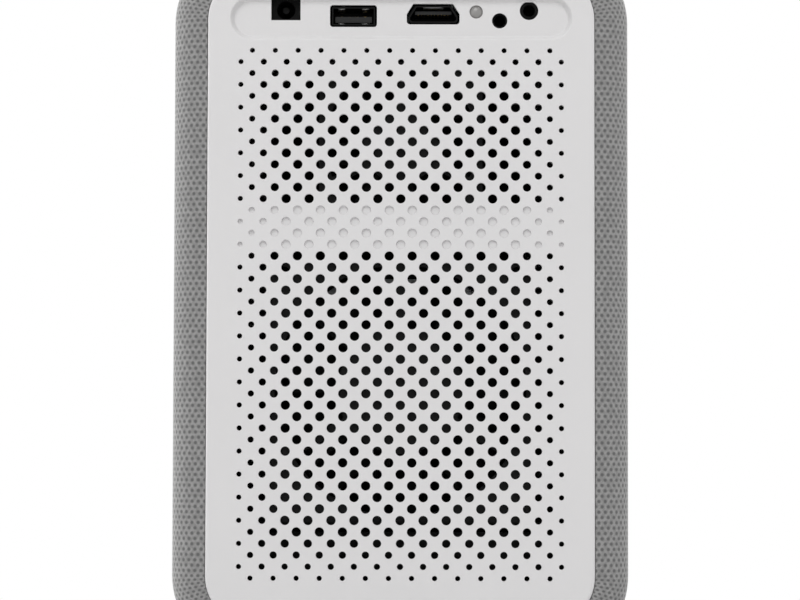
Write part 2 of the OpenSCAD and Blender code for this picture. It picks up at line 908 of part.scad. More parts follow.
module projection_lenses() {
    front_r = barrel_r - 3.5 - fit;
    back_r = barrel_r - 4.5 - fit;
    color("lightblue", 0.4) {
        turned(0, lens_z)
            lens_section(front_r, barrel_y0 + 6.6, 3.4, 4.2);
        turned(0, lens_z)
            lens_section(back_r, barrel_y0 + barrel_l - 6, 3, 2.6);
    }
}

// ---------- optical engine ----------

module mirror_box() {
    half = engine_w / 2;
    top = lens_z + half - 2;
    slope_y = optic_y + lens_z;         // the mirror lies on y + z = slope_y
    rim = 6;
    color("#26262a")
        difference() {
            union() {
                rotate([90, 0, 90])
                    linear_extrude(engine_w, center = true)
                        polygon([
                            [engine_y0, mirror_z], [engine_y1, mirror_z],
                            [engine_y1, slope_y - engine_y1], [slope_y - top, top],
                            [engine_y0, top]
                        ]);
                rod_y(0, lens_z, guide_r, guide_y0, engine_y0 + 1);
                // ribs between the guide tube and the box
                for (turn = [45:90:315])
                    translate([0, 0, lens_z])
                        rotate([0, turn, 0])
                            block([guide_r - 1, engine_y0 - 9, -1],
                                  [guide_r + 3, engine_y0 + 1, 1]);
            }
            // cavity, under the mirror's rim
            rotate([90, 0, 90])
                linear_extrude(engine_w - 2 * box_wall, center = true)
                    polygon([
                        [engine_y0 + box_wall, mirror_z + 3],
                        [engine_y1 - box_wall, mirror_z + 3],
                        [engine_y1 - box_wall, slope_y - engine_y1 - 0.42 * box_wall],
                        [slope_y - top - 0.42 * box_wall, top - box_wall],
                        [engine_y0 + box_wall, top - box_wall]
                    ]);
            // window under the mirror
            translate([0, optic_y, lens_z])
                rotate([-45, 0, 0])
                    block([rim - half, -half * 1.2, -8], [half - rim, half * 1.2, 2]);
            // way in for the light, with a pocket for the field lens
            block([4 - half, engine_y0 + 4, mirror_z - more],
                  [half - 4, engine_y1 - 4, mirror_z + 4]);
            block([2 - half, engine_y0 + 2, mirror_z - more],
                  [half - 2, engine_y1 - 2, mirror_z + fresnel_t]);
            rod_y(0, lens_z, barrel_r + fit, guide_y0 - more, engine_y0 + 3);
        }
}

module fold_mirror() {
    half = engine_w / 2;
    color("lightsteelblue")
        translate([0, optic_y, lens_z])
            rotate([-45, 0, 0])
                block([3 - half, -half * 1.25, 0], [half - 3, half * 1.25, 2]);
}

module fresnel_lenses() {
    half = engine_w / 2 - 2 - fresnel_gap;
    color("lightblue", 0.4) {
        block([-half, optic_y - half, mirror_z], [half, optic_y + half, mirror_z + fresnel_t]);
        block([-half, optic_y - half, box_top - fresnel_t],
              [half, optic_y + half, box_top]);
    }
}

module lcd_panel() {
    half_x = engine_w / 2 + 4;
    half_y = engine_w / 2;
    pane = engine_w / 2 - 5;
    color("silver")
        difference() {
            block([-half_x, optic_y - half_y, box_top], [half_x, optic_y + half_y, mirror_z]);
            block([-pane, optic_y - pane, box_top - more], [pane, optic_y + pane, mirror_z + more]);
        }
    color("#10141c")
        block([-pane, optic_y - pane, box_top + 1.6], [pane, optic_y + pane, mirror_z - 1.6]);
}

module light_box() {
    half = engine_w / 2;
    in = half - box_wall;
    shelf_in = in - 4;
    condenser_z = heatsink_top + condenser_rise;
    color("#26262a")
        difference() {
            union() {
                block([-half, engine_y0, heatsink_top], [half, engine_y1, box_top]);
                for (y = [-ear_y, ear_y])
                    block([-ear_x - 3, optic_y + y - 4, heatsink_top],
                          [ear_x + 3, optic_y + y + 4, heatsink_top + ear_t]);
            }
            // seat of the LED, cone chamber, lens chamber and the pocket on top
            block([-21, optic_y - 21, heatsink_top - more], [21, optic_y + 21, heatsink_top + 2.4]);
            block([-in, optic_y - in, heatsink_top + 2.4], [in, optic_y + in, condenser_z]);
            rod_z(0, optic_y, condenser_r - 3, heatsink_top, condenser_z + 3);
            block([-in, optic_y - in, condenser_z + 2],
                  [in, optic_y + in, box_top - fresnel_t - 2]);
            block([-shelf_in, optic_y - shelf_in, condenser_z + 3],
                  [shelf_in, optic_y + shelf_in, box_top + more]);
            block([-in, optic_y - in, box_top - fresnel_t], [in, optic_y + in, box_top + more]);
            for (x = [-ear_x, ear_x], y = [-ear_y, ear_y])
                rod_z(x, optic_y + y, small_hole_r, heatsink_top - more, heatsink_top + 4);
        }
}

module condenser_lens() {
    color("lightblue", 0.4)
        translate([0, optic_y, heatsink_top + condenser_rise + 2])
            rotate_extrude()
                mirror([0, 1])
                    lens_section(condenser_r, -2, 2, 9);
}

module led_module() {
    color("goldenrod")
        block([-20, optic_y - 20, heatsink_top], [20, optic_y + 20, heatsink_top + 1.6]);
    color("khaki")
        block([-8, optic_y - 8, heatsink_top + 1.6], [8, optic_y + 8, heatsink_top + 2.8]);
}

module heatsink() {
    half = heatsink_w / 2;
    y0 = optic_y - heatsink_l / 2;
    y1 = optic_y + heatsink_l / 2;
    color("silver")
        difference() {
            union() {
                block([-half, y0, heatsink_top - heatsink_plate], [half, y1, heatsink_top]);
                for (i = [0:fins - 1]) {
                    x = -half + i * (heatsink_w - fin_t) / (fins - 1);
                    block([x, y0, chassis_top], [x + fin_t, y1, heatsink_top - 1]);
                }
            }
            for (x = [-ear_x, ear_x], y = [-ear_y, ear_y])
                rod_z(x, optic_y + y, small_hole_r, heatsink_top - heatsink_plate + 0.5,
                      heatsink_top + more);
        }
}

module chassis_plate() {
    y0 = shelf_y0 - 4;
    y1 = side_y1 + 3;
    vent = heatsink_w / 2 - 6;
    color("silver")
        difference() {
            union() {
                block([-chassis_x, y0, chassis_z], [chassis_x, y1, chassis_top]);
                block([-chassis_x + 6, y0, chassis_z], [chassis_x - 6, y0 + chassis_t,
                                                        chassis_top + 5]);
            }
            for (y = [optic_y - 24:12:optic_y + 24])
                block([-vent, y - 4, chassis_z - more], [vent, y + 4, chassis_top + more]);
        }
}

// ---------- fans ----------

// Frame of a square fan that blows along Y: ring, motor seat and three struts at the rear
module fan_frame(size, depth, z, y0) {
    bore = size / 2 - 1.6;
    seat_r = size * 0.24;
    hole = size / 2 - 4.2;
    seat_t = 2;
    y1 = y0 + depth;
    difference() {
        union() {
            difference() {
                upright(y0, y1)
                    translate([0, z])
                        round_rect(size, size, 3);
                rod_y(0, z, bore, y0 - more, y1 + more);
            }
            rod_y(0, z, seat_r, y1 - seat_t, y1);
            rod_y(0, z, 3, y1 - seat_t - 2, y1);
            for (turn = [30:120:270])
                translate([0, 0, z])
                    rotate([0, turn, 0])
                        block([seat_r - 1, y1 - seat_t, -1.4], [bore + 0.6, y1, 1.4]);
        }
        rod_y(0, z, shaft_r + fit, y0, y1 - 0.6);
        for (sx = [-1, 1], sz = [-1, 1])
            rod_y(sx * hole, z + sz * hole, 2.1, y0 - more, y1 + more);
    }
}

// One fan blade along X: a bent strip, cut off at the tip radius
module blade(r0, r1, depth, thickness) {
    bend_r = depth * 1.1;
    intersection() {
        translate([r0, 0, 0])
            rotate([90, 0, 90])
                linear_extrude(r1 - r0)
                    intersection() {
                        translate([-bend_r * 0.95, -depth * 0.15])
                            difference() {
                                circle(bend_r);
                                circle(bend_r - thickness);
                            }
                        translate([-depth, 0])
                            square([2 * depth, depth]);
                    }
        cylinder(r = r1 - 0.3, h = depth);
    }
}

module fan_rotor(size, depth, z, y0, blades) {
    cup_r = size * 0.24;
    tip_r = size / 2 - 2.2;
    seat_t = 2;
    y1 = y0 + depth - seat_t - 0.6;
    blade_l = depth - seat_t - 2;
    translate([0, y1, z])
        rotate([90, 0, 0]) {
            difference() {
                cylinder(r = cup_r, h = depth - seat_t - 1.2);
                translate([0, 0, -more])
                    cylinder(r = cup_r - 1.2, h = depth - seat_t - 3.2 + more);
            }
            translate([0, 0, -seat_t + 0.6])
                cylinder(r = shaft_r, h = depth - 3);
            for (i = [0:blades - 1])
                rotate(360 * i / blades)
                    blade(cup_r - 0.6, tip_r, blade_l, 1.2);
        }
}

module exhaust_fan_frame() {
    color("#202022")
        fan_frame(exhaust_size, exhaust_depth, exhaust_z, exhaust_y0);
}

module exhaust_fan_rotor() {
    color("#2c2c30")
        fan_rotor(exhaust_size, exhaust_depth, exhaust_z, exhaust_y0, 9);
}

module intake_fan_frame() {
    color("#202022")
        fan_frame(intake_size, intake_depth, intake_z, intake_y0);
}

module intake_fan_rotor() {
    color("#2c2c30")
        fan_rotor(intake_size, intake_depth, intake_z, intake_y0, 7);
}

module air_guide() {
    z0 = guide_z - air_guide_t / 2;
    z1 = guide_z + air_guide_t / 2;
    wide_y1 = side_y1 + 3;
    narrow_x = lip_x - 2.4;
    color("#3a3a3c") {
        block([-chassis_x, engine_y1 + 1, z0], [chassis_x, wide_y1, z1]);
        block([-narrow_x, wide_y1 - more, z0], [narrow_x, rear_seat_y - loose, z1]);
    }
}

// ---------- boards and ports ----------

module main_board() {
    y0 = board_y1 - board_l;
    color("darkgreen")
        difference() {
            block([-board_half, y0, board_z], [board_half, board_y1, board_z + pcb_t]);
            for (x = [-main_post_x, main_post_x], y = main_posts_y)
                rod_z(x, y, small_screw_r + 0.2, board_z - more, board_z + pcb_t + more);
        }
    color("#202022") {
        block([-12, y0 + 6, board_z - 1.6], [6, y0 + 24, board_z]);
        block([14, y0 + 8, board_z - 1.2], [26, y0 + 20, board_z]);
        block([-30, y0 + 10, board_z - 1.2], [-19, y0 + 21, board_z]);
    }
}

module dc_jack() {
    y0 = jack_face_y - socket_l;
    color("#18181a") {
        difference() {
            block([dc_x - dc_w / 2, y0, dc_z - dc_below - 0.6],
                  [dc_x + dc_w / 2, jack_face_y, board_z]);
            rod_y(dc_x, dc_z, dc_bore_r, y0 + 3, jack_face_y + more);
        }
        rod_y(dc_x, dc_z, 1, y0 + 2, jack_face_y - 1);
    }
}

module usb_socket() {
    y0 = socket_face_y - socket_l;
    half = usb_w / 2;
    top = usb_z + usb_h / 2;
    low = usb_z - usb_h / 2;
    wall = 0.4;
    color("silver") {
        difference() {
            union() {
                block([usb_x - half, y0, low], [usb_x + half, socket_face_y, top]);
                block([usb_x - half, y0, top - 1], [usb_x + half, port_plate_y - 3, board_z]);
            }
            block([usb_x - half + wall, y0 + 3, low + wall],
                  [usb_x + half - wall, socket_face_y + more, top - wall]);
        }
    }
    color("#202022")
        block([usb_x - half + 1, y0 + 2, low + 1], [usb_x + half - 1, socket_face_y - tongue_setback,
                                                low + 2.8]);
}

module hdmi_socket() {
    y0 = socket_face_y - socket_l;
    wall = 0.4;
    color("silver")
        difference() {
            union() {
                upright(y0, socket_face_y)
                    translate([hdmi_x, hdmi_z])
                        hdmi_outline(0);
                block([hdmi_x - hdmi_w / 2 + 2, y0, hdmi_z], [hdmi_x + hdmi_w / 2 - 2,
                                                              port_plate_y - 3, board_z]);
            }
            upright(y0 + 3, socket_face_y + more)
                translate([hdmi_x, hdmi_z])
                    hdmi_outline(-wall);
        }
    color("#202022")
        block([hdmi_x - 5.6, y0 + 2, hdmi_z + 0.1],
              [hdmi_x + 5.6, socket_face_y - tongue_setback, hdmi_z + 1.1]);
}

// A round jack hanging under the main board, with a collar that fills a hole of the port plate
module round_jack(x, z, half, hole_r) {
    y0 = jack_face_y - socket_l;
    color("#18181a")
        difference() {
            union() {
                block([x - half, y0, z - half], [x + half, jack_face_y, board_z]);
                rod_y(x, z, hole_r - collar_gap, jack_face_y - more, collar_face_y);
            }
            rod_y(x, z, jack_bore_r, y0 + 2, collar_face_y + more);
        }
}

module av_jack() {
    round_jack(av_x, av_z, 3.2, av_hole_r);
}

module audio_jack() {
    round_jack(audio_x, audio_z, 3.4, audio_hole_r);
}

module status_lens() {
    back_y = port_plate_y - 9;
    color("#a8a4a8") {
        rod_y(lens_led_x, lens_led_z, led_r, back_y, rear_seat_y - 0.6);
        intersection() {
            translate([lens_led_x, rear_seat_y - 2.6, lens_led_z])
                sphere(r = 2.8);
            rod_y(lens_led_x, lens_led_z, led_r, rear_seat_y - 1, rear_seat_y + 1);
        }
        block([lens_led_x - 1.5, back_y - 2, lens_led_z - 1.5],
              [lens_led_x + 1.5, back_y + 1, board_z]);
    }
}

module decoder_board() {
    top = decoder_z + pcb_t;
    color("darkgreen")
        difference() {
            block([-decoder_half, decoder_y0, decoder_z], [decoder_half, decoder_y1, top]);
            for (x = [-decoder_post_x, decoder_post_x], y = decoder_posts_y)
                rod_z(x, y, small_screw_r + 0.2, decoder_z - more, top + more);
        }
    color("#202022") {
        block([-10, decoder_y0 + 20, top], [8, decoder_y0 + 38, top + 1.4]);
        block([14, decoder_y0 + 24, top], [24, decoder_y0 + 34, top + 1.2]);
        rod_z(-22, decoder_y0 + 30, 4, top, top + 9);
    }
}

// ---------- speakers ----------

// Places a piece made along Z, its front at z = 0, against the side wall
module at_side(side) {
    translate([side * inner_x, speaker_y, speaker_z])
        rotate([0, 90 * side, 0])
            children();
}

module speaker(side) {
    bowl_r = speaker_r - 4.5;
    magnet_r = speaker_r - 10;
    at_side(side) {
        difference() {
            rotate_extrude()
                polygon([
                    [speaker_r, 0], [speaker_r, -2], [bowl_r + 1.2, -2], [magnet_r - 1, -13],
                    [magnet_r - 1, -14], [8, -14], [8, -12.6], [magnet_r - 2.4, -12.6],
                    [bowl_r, -2.6], [bowl_r, 0]
                ]);
            for (turn = [45:90:315])
                rotate([0, 0, turn])
                    translate([bowl_r - 3.5, 0, -8])
                        cube([9, 12, 7], center = true);
        }
        translate([0, 0, -24])
            difference() {
                cylinder(r = magnet_r, h = 10);
                translate([0, 0, 6])
                    cylinder(r = 7, h = 5);
            }
    }
}

module speaker_left() {
    color("#303034")
        speaker(1);
}

module speaker_right() {
    color("#303034")
        speaker(-1);
}

module speaker_cones() {
    rim_r = speaker_r - 4.5 - 0.2;
    color("#141416")
        for (side = [-1, 1])
            at_side(side)
                rotate_extrude()
                    polygon([
                        [rim_r, -2.2], [rim_r, -1.4], [rim_r - 1.2, -0.7], [rim_r - 2.6, -0.7],
                        [rim_r - 3.8, -1.4], [7.6, -9], [5, -7.4], [0, -6.4],
                        [0, -7.2], [4.8, -8.2], [7.2, -10], [rim_r - 3.8, -2.4],
                        [rim_r - 2.6, -1.5], [rim_r - 1.2, -1.5]
                    ]);
}

// ---------- disc drive ----------

// Moves a piece drawn in the drive's frame to its place
module in_drive() {
    translate([0, drive_y, drive_z])
        children();
}

// Moves a piece drawn in the traverse's frame, its origin on the hub's axis
module in_traverse() {
    in_drive()
        translate([0, disc_y, 0])
            rotate([0, 0, traverse_turn])
                children();
}

module drive_casing() {
    color("silver")
        in_drive()
            difference() {
                block([-casing_x, 0.5, 0], [casing_x, drive_l, drive_h - sheet_t]);
                block([-casing_in_x, 0.5 - more, sheet_t],
                      [casing_in_x, drive_l - sheet_t, drive_h]);
                for (x = [-post_x, post_x], y = [-post_y, post_y])
                    rod_z(x, y - drive_y, base_screw_r + fit, -more, sheet_t + more);
            }
}

// Sheet over the drive, with a pressed-up ring over the disc that stiffens it
module drive_lid() {
    z0 = drive_h - sheet_t;
    press = sheet_t / 4;
    ring_r0 = hub_hole_r + 12;
    ring_r1 = disc_well_r - 6;
    color("silver")
        in_drive()
            difference() {
                union() {
                    block([-casing_x, 0.5, z0], [casing_x, drive_l, drive_h]);
                    difference() {
                        rod_z(0, disc_y, ring_r1, z0, drive_h + press);
                        rod_z(0, disc_y, ring_r0, z0 - more, drive_h + press + more);
                    }
                }
                difference() {
                    rod_z(0, disc_y, ring_r1 - press, z0 - more, z0 + press);
                    rod_z(0, disc_y, ring_r0 + press, z0 - more - 1, z0 + press + more);
                }
            }
}

module tray_rail(side) {
    color("silver")
        in_drive()
            mirror([side < 0 ? 1 : 0, 0, 0]) {
                block([rail_x0, 2, rail_z0], [rail_x1, 2 + rail_l, rail_z1]);
                block([rail_x0 - rail_flange, 2, rail_z0], [rail_x1, 2 + rail_l,
                                                            rail_z0 + sheet_t]);
                block([rail_x0 - rail_flange, 2, rail_z1 - sheet_t], [rail_x1, 2 + rail_l,
                                                                     rail_z1]);
            }
}

module tray_rail_left() {
    tray_rail(-1);
}

module tray_rail_right() {
    tray_rail(1);
}

module disc_tray() {
    tray_rear = tray_front + tray_l;
    skirt = 1.2;
    under = tray_floor_z - tray_floor_t;
    color("#303034") {
        in_drive()
            difference() {
                union() {
                    block([-tray_low_x, tray_front, tray_foot_z],
                          [tray_low_x, tray_rear, tray_top_z]);
                    block([-tray_top_x, tray_front, rail_z1 + loose],
                          [tray_top_x, tray_rear, tray_top_z]);
                    block_pair([tray_low_x - skirt, tray_front,
                                rail_z0 + sheet_t + loose],
                               [tongue_x, tray_rear, rail_z1 - sheet_t - loose]);
                }
                block([skirt - tray_low_x, tray_front + skirt, tray_foot_z - more],
                      [tray_low_x - skirt, tray_rear - skirt, under]);
                rod_z(0, disc_y, disc_well_r, tray_floor_z, drive_h);
                rod_z(0, disc_y, mini_well_r, tray_floor_z - mini_well_d, drive_h);
                rod_z(0, disc_y, hub_hole_r, 0, drive_h);
                // window over the pickup
                translate([0, disc_y, 0])
                    rotate([0, 0, traverse_turn])
                        block([-rod_x + 0.6, 0, 0], [rod_x - 0.6, rod_y1 - 2, tray_floor_z + 0.6]);
                // finger notches beside the disc
                for (x = [-24, 24])
                    rod_z(x, disc_y - disc_well_r + 3, 9, tray_floor_z + 1.6, drive_h);
            }
        // bosses that carry the traverse plate
        in_traverse()
            for (x = [-boss_x, boss_x], y = bosses_y)
                rod_z(x, y, 2, traverse_top, under + 0.2);
    }
}

module tray_bezel() {
    y0 = tray_front - bezel_t;
    color("gainsboro")
        in_drive()
            difference() {
                translate([0, 0, drive_h / 2])
                    upright(y0, tray_front)
                        round_rect(bezel_w, bezel_h, 1);
                block([eject_x - eject_w / 2 - loose, y0 - more, (drive_h - eject_h) / 2 - loose],
                      [eject_x + eject_w / 2 + loose, tray_front - 0.8,
                       (drive_h + eject_h) / 2 + loose]);
                rod_y(eject_x - 12, drive_h / 2, 0.6, y0 - more, tray_front + more);
            }
}

module eject_button() {
    y0 = tray_front - bezel_t - bezel_setback;
    y1 = tray_front - 0.8 - eject_travel - 0.1;
    color("gray")
        in_drive()
            block([eject_x - eject_w / 2, y0, (drive_h - eject_h) / 2],
                  [eject_x + eject_w / 2, y1, (drive_h + eject_h) / 2]);
}

module traverse_plate() {
    lug = 2;
    lug_t = 1.1;
    color("silver")
        in_traverse()
            difference() {
                union() {
                    block([-16, -17, traverse_z], [16, rod_y1, traverse_top]);
                    block([15, 0, traverse_z], [screw_x + lug, screw_y1, traverse_top]);
                    for (x = [-rod_x, rod_x]) {
                        block([x - lug, rod_y0, traverse_z], [x + lug, rod_y0 + lug,
                                                              rod_z + rod_r + 0.5]);
                        block([x - lug, rod_y1 - lug_t, traverse_z], [x + lug, rod_y1,
                                                                      rod_z + rod_r + 0.5]);
                    }
                    block([screw_x - 1.6, screw_y1 - 1.6, traverse_z],
                          [screw_x + 1.6, screw_y1, rod_z + rod_r + 0.5]);
                }
                block([-10, 16, traverse_z - more], [10, rod_y1 - 5, traverse_top + more]);
                for (x = [-rod_x, rod_x])
                    rod_y(x, rod_z, rod_r + 0.02, rod_y0 - more, rod_y1 + more);
                rod_y(screw_x, rod_z, rod_r + fit, screw_y1 - 3, screw_y1 + more);
            }
}

module spindle_motor() {
    color("#b08040")
        in_traverse() {
            rod_z(0, 0, hub_r - 1, traverse_top, traverse_top + 0.8);
            difference() {
                rod_z(0, 0, hub_r - 2, traverse_top + 0.7, rail_z1 - 1);
                rod_z(0, 0, 4, traverse_top + 0.8, rail_z1);
            }
            rod_z(0, 0, pin_r, traverse_top, turntable_z - 0.4);
        }
}

module spindle_hub() {
    cup_z0 = traverse_top + 1.2;
    cup_z1 = tray_floor_z;
    cavity_top = rail_z1 - 0.6;
    nose_top = turntable_z + 2;
    color("#505056")
        in_traverse() {
            difference() {
                union() {
                    rod_z(0, 0, hub_r, cup_z0, cup_z1);
                    rod_z(0, 0, hub_r - 1, cup_z0, turntable_z);
                    rod_z(0, 0, nose_r, cup_z0, nose_top);
                    translate([0, 0, nose_top])
                        cylinder(r1 = nose_r, r2 = nose_r - 1.6, h = 0.5);
                }
                rod_z(0, 0, hub_r - 1.4, cup_z0 - more, cavity_top);
                rod_z(0, 0, pin_r + fit, cup_z0 - more, turntable_z - 0.1);
            }
            // three balls that grip the disc's hole
            for (turn = [0:120:240])
                rotate([0, 0, turn])
                    translate([nose_r - 0.5, 0, turntable_z + 1.2])
                        sphere(r = 0.8, $fn = 32);
        }
}

module sled_rods() {
    color("silver")
        in_traverse()
            for (x = [-rod_x, rod_x])
                rod_y(x, rod_z, rod_r, rod_y0, rod_y1);
}

module pickup_sled() {
    low = traverse_top + 0.3;
    top = tray_floor_z - tray_floor_t - 0.3;
    color("#3c3c44")
        in_traverse()
            translate([0, lens_y, 0])
                difference() {
                    union() {
                        block([-sled_x, -sled_back, low], [sled_x, sled_fore, top]);
                        block([0, -3, low + 0.2], [screw_x + 1.8, 3, top - 0.2]);
                        rod_z(0, 0, 4.4, top - 0.1, tray_floor_z + 0.2);
                    }
                    for (x = [-rod_x, rod_x])
                        rod_y(x, rod_z, rod_r + fit, -20, 20);
                    rod_y(screw_x, rod_z, rod_r + 0.15, -20, 20);
                    // cup of the objective lens
                    rod_z(0, 0, 2.6, tray_floor_z - 0.6, tray_floor_z + 1);
                    // open frame beside the lens
                    for (side = [-1, 1])
                        rod_z(side * 8, 0, 2, low - more, top + more);
                }
}

module leadscrew() {
    color("silver")
        in_traverse()
            rod_y(screw_x, rod_z, rod_r, 11.2, screw_y1);
}

module sled_motor() {
    half = 2.7;
    color("#3a3a3c")
        in_traverse()
            difference() {
                block([screw_x - half, 2, traverse_top], [screw_x + half, 13, rod_z + 1.5]);
                rod_y(screw_x, rod_z, rod_r + fit, 11, 14);
            }
}

fabric_wrap();
main_shell();
rear_cover();
port_plate();
front_cover();
lens_bezel();
base_plate();
rubber_feet();
tripod_insert();
base_screws();
small_screws();
key_plate();
key(-2);  // key_power
key(-1);  // key_volume_down
key(0);  // key_play
key(1);  // key_volume_up
key(2);  // key_source
key_board();
focus_ring();
lens_barrel();
projection_lenses();
mirror_box();
fold_mirror();
lcd_panel();
fresnel_lenses();
light_box();
condenser_lens();
led_module();
heatsink();
chassis_plate();
exhaust_fan_frame();
exhaust_fan_rotor();
intake_fan_frame();
intake_fan_rotor();
air_guide();
main_board();
dc_jack();
usb_socket();
hdmi_socket();
av_jack();
audio_jack();
status_lens();
decoder_board();
speaker_left();
speaker_right();
speaker_cones();
drive_casing();
drive_lid();
tray_rail_left();
tray_rail_right();
disc_tray();
tray_bezel();
eject_button();
traverse_plate();
spindle_motor();
spindle_hub();
sled_rods();
pickup_sled();
leadscrew();
sled_motor();
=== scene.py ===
import json
import math
import random

import bpy
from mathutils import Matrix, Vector


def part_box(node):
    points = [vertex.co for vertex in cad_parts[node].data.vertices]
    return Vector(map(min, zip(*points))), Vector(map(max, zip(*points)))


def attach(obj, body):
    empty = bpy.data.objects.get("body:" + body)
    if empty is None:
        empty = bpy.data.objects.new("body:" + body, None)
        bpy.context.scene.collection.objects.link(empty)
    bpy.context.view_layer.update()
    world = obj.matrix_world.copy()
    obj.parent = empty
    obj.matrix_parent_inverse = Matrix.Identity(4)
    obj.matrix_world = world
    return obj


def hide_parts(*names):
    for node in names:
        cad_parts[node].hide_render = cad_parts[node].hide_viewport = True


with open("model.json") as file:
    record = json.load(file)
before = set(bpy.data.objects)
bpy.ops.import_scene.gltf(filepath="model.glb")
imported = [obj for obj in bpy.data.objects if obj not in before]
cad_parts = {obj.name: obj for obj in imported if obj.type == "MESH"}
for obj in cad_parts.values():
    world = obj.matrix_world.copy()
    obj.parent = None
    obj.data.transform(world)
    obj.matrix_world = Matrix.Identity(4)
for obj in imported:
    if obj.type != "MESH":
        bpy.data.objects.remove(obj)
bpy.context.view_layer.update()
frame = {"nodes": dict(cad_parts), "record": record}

# Looks of a portable projector with a disc drive, around its fixed frame: Z up, lens towards
# -Y, ports towards +Y. Lengths are in metres. MM turns millimetres into metres.
MM = 0.001

# Sleeve
CORNER_R = 26 * MM          # radius of the four long corners
REAR_ROUND = 10.6 * MM      # radius where the sides run in to the rear cover
FRONT_ROUND = 3.3 * MM      # radius at the front edge
FABRIC_T = 0.85 * MM        # thickness of the fabric that is drawn
KNIT_PITCH = 2.0 * MM       # distance between the holes of one row, front to back
ROW_SPACING = 1.618 * MM    # distance between neighbouring rows
KNIT_ROWS = 420             # rows of holes round the sleeve, an even number


def new_object(name, data):
    """An object in the scene."""
    thing = bpy.data.objects.new(name, data)
    bpy.context.scene.collection.objects.link(thing)
    return thing


# ---------- materials ----------

# sockets of a Mix node for colours, which share their names with those for other types
MIX_SHARE, MIX_A, MIX_B, MIX_RESULT = 0, 6, 7, 2

# most of a noise lies between these values
NOISE_LOW, NOISE_HIGH = 0.3, 0.7


class Nodes:
    """The node tree of a material or world, and short ways to add to it."""

    def __init__(self, owner):
        owner.use_nodes = True
        self.tree = owner.node_tree
        self.tree.nodes.clear()

    def put(self, socket, value):
        """Links value to socket where value is a socket itself, and otherwise sets it."""
        if isinstance(value, bpy.types.NodeSocket):
            self.tree.links.new(value, socket)
        else:
            socket.default_value = value

    def node(self, kind, **values):
        """A node with values in the sockets of those names, where _ stands for a space."""
        node = self.tree.nodes.new(kind)
        for name, value in values.items():
            self.put(node.inputs[name.replace("_", " ")], value)
        return node

    def math(self, operation, *values, clamp=False):
        """The result of a Math node."""
        node = self.tree.nodes.new("ShaderNodeMath")
        node.operation = operation
        node.use_clamp = clamp
        for socket, value in zip(node.inputs, values):
            self.put(socket, value)
        return node.outputs[0]

    def ramp(self, value, low, high, out_low=0.0, out_high=1.0):
        """value from low..high to out_low..out_high, with soft ends."""
        node = self.node("ShaderNodeMapRange", Value=value, From_Min=low, From_Max=high,
                         To_Min=out_low, To_Max=out_high)
        node.interpolation_type = "SMOOTHSTEP"
        return node.outputs[0]

    def mix(self, share, a, b):
        """Colour a where share is 0, and b where it is 1."""
        node = self.tree.nodes.new("ShaderNodeMix")
        node.data_type = "RGBA"
        for index, value in ((MIX_SHARE, share), (MIX_A, a), (MIX_B, b)):
            self.put(node.inputs[index], value)
        return node.outputs[MIX_RESULT]

    def mix_shaders(self, share, a, b):
        """Shader a where share is 0, and b where it is 1."""
        node = self.tree.nodes.new("ShaderNodeMixShader")
        for socket, value in zip(node.inputs, (share, a.outputs[0], b.outputs[0])):
            self.put(socket, value)
        return node

    def seen_directly(self):
        """1 for camera, mirror and glass rays, which see the white background."""
        path = self.node("ShaderNodeLightPath")
        total = path.outputs["Is Camera Ray"]
        for ray in ("Is Glossy Ray", "Is Transmission Ray"):
            total = self.math("ADD", total, path.outputs[ray], clamp=True)
        return total


class Material(Nodes):
    """A material with one Principled shader, and short ways to feed that shader."""

    def __init__(self, name, colour, roughness, **sockets):
        self.data = bpy.data.materials.new(name)
        super().__init__(self.data)
        self.colour = colour
        self.shader = self.node("ShaderNodeBsdfPrincipled", Base_Color=(*colour, 1),
                                Roughness=roughness, **sockets)
        self.node("ShaderNodeOutputMaterial", Surface=self.shader.outputs[0])
        self.points = self.node("ShaderNodeTexCoord").outputs["Object"]
        self.relief = None

    def noise(self, grain, detail=3.0, vector=None):
        """Noise whose features are about grain wide."""
        return self.node("ShaderNodeTexNoise", Vector=vector or self.points, Scale=1 / grain,
                         Detail=detail).outputs[0]

    def cells(self, size, **sockets):
        """Voronoi cells that are about size wide."""
        return self.node("ShaderNodeTexVoronoi", Vector=self.points, Scale=1 / size, **sockets)

    def tint(self, share, amount):
        """Varies the base colour by amount, up and down, with share from 0 to 1."""
        dark = (*[c * (1 - amount) for c in self.colour], 1)
        light = (*[min(1, c * (1 + amount)) for c in self.colour], 1)
        self.put(self.shader.inputs["Base Color"], self.mix(share, dark, light))

    def rough(self, noise, low, high):
        """Varies the roughness with a noise."""
        self.put(self.shader.inputs["Roughness"],
                 self.ramp(noise, NOISE_LOW, NOISE_HIGH, low, high))

    def bump(self, height, depth, strength=1.0):
        """Adds a relief to those before it: height from 0 to 1 is depth deep."""
        node = self.node("ShaderNodeBump", Height=height, Distance=depth, Strength=strength)
        if self.relief is not None:
            self.put(node.inputs["Normal"], self.relief)
        self.relief = node.outputs[0]
        self.put(self.shader.inputs["Normal"], self.relief)


def linear(level):
    """Linear value of a display level from 0 to 255, by the sRGB curve."""
    share = level / 255
    return share / 12.92 if share <= 0.04045 else ((share + 0.055) / 1.055) ** 2.4


def grey(level, warm=0.0):
    """Linear grey of a display level, a little warmer for a positive warm."""
    return (linear(level * (1 + warm)), linear(level), linear(level * (1 - warm)))


def moulded(name, colour, roughness, grain=0.35 * MM, relief=0.02 * MM, **sockets):
    """Moulded plastic with a fine spark-eroded texture, faint flow shading and uneven gloss."""
    m = Material(name, colour, roughness, **sockets)
    m.tint(m.noise(30 * MM, detail=2), amount=0.02)
    m.rough(m.noise(4 * MM), roughness - 0.05, roughness + 0.05)
    m.bump(m.noise(grain, detail=4), relief)
    return m.data


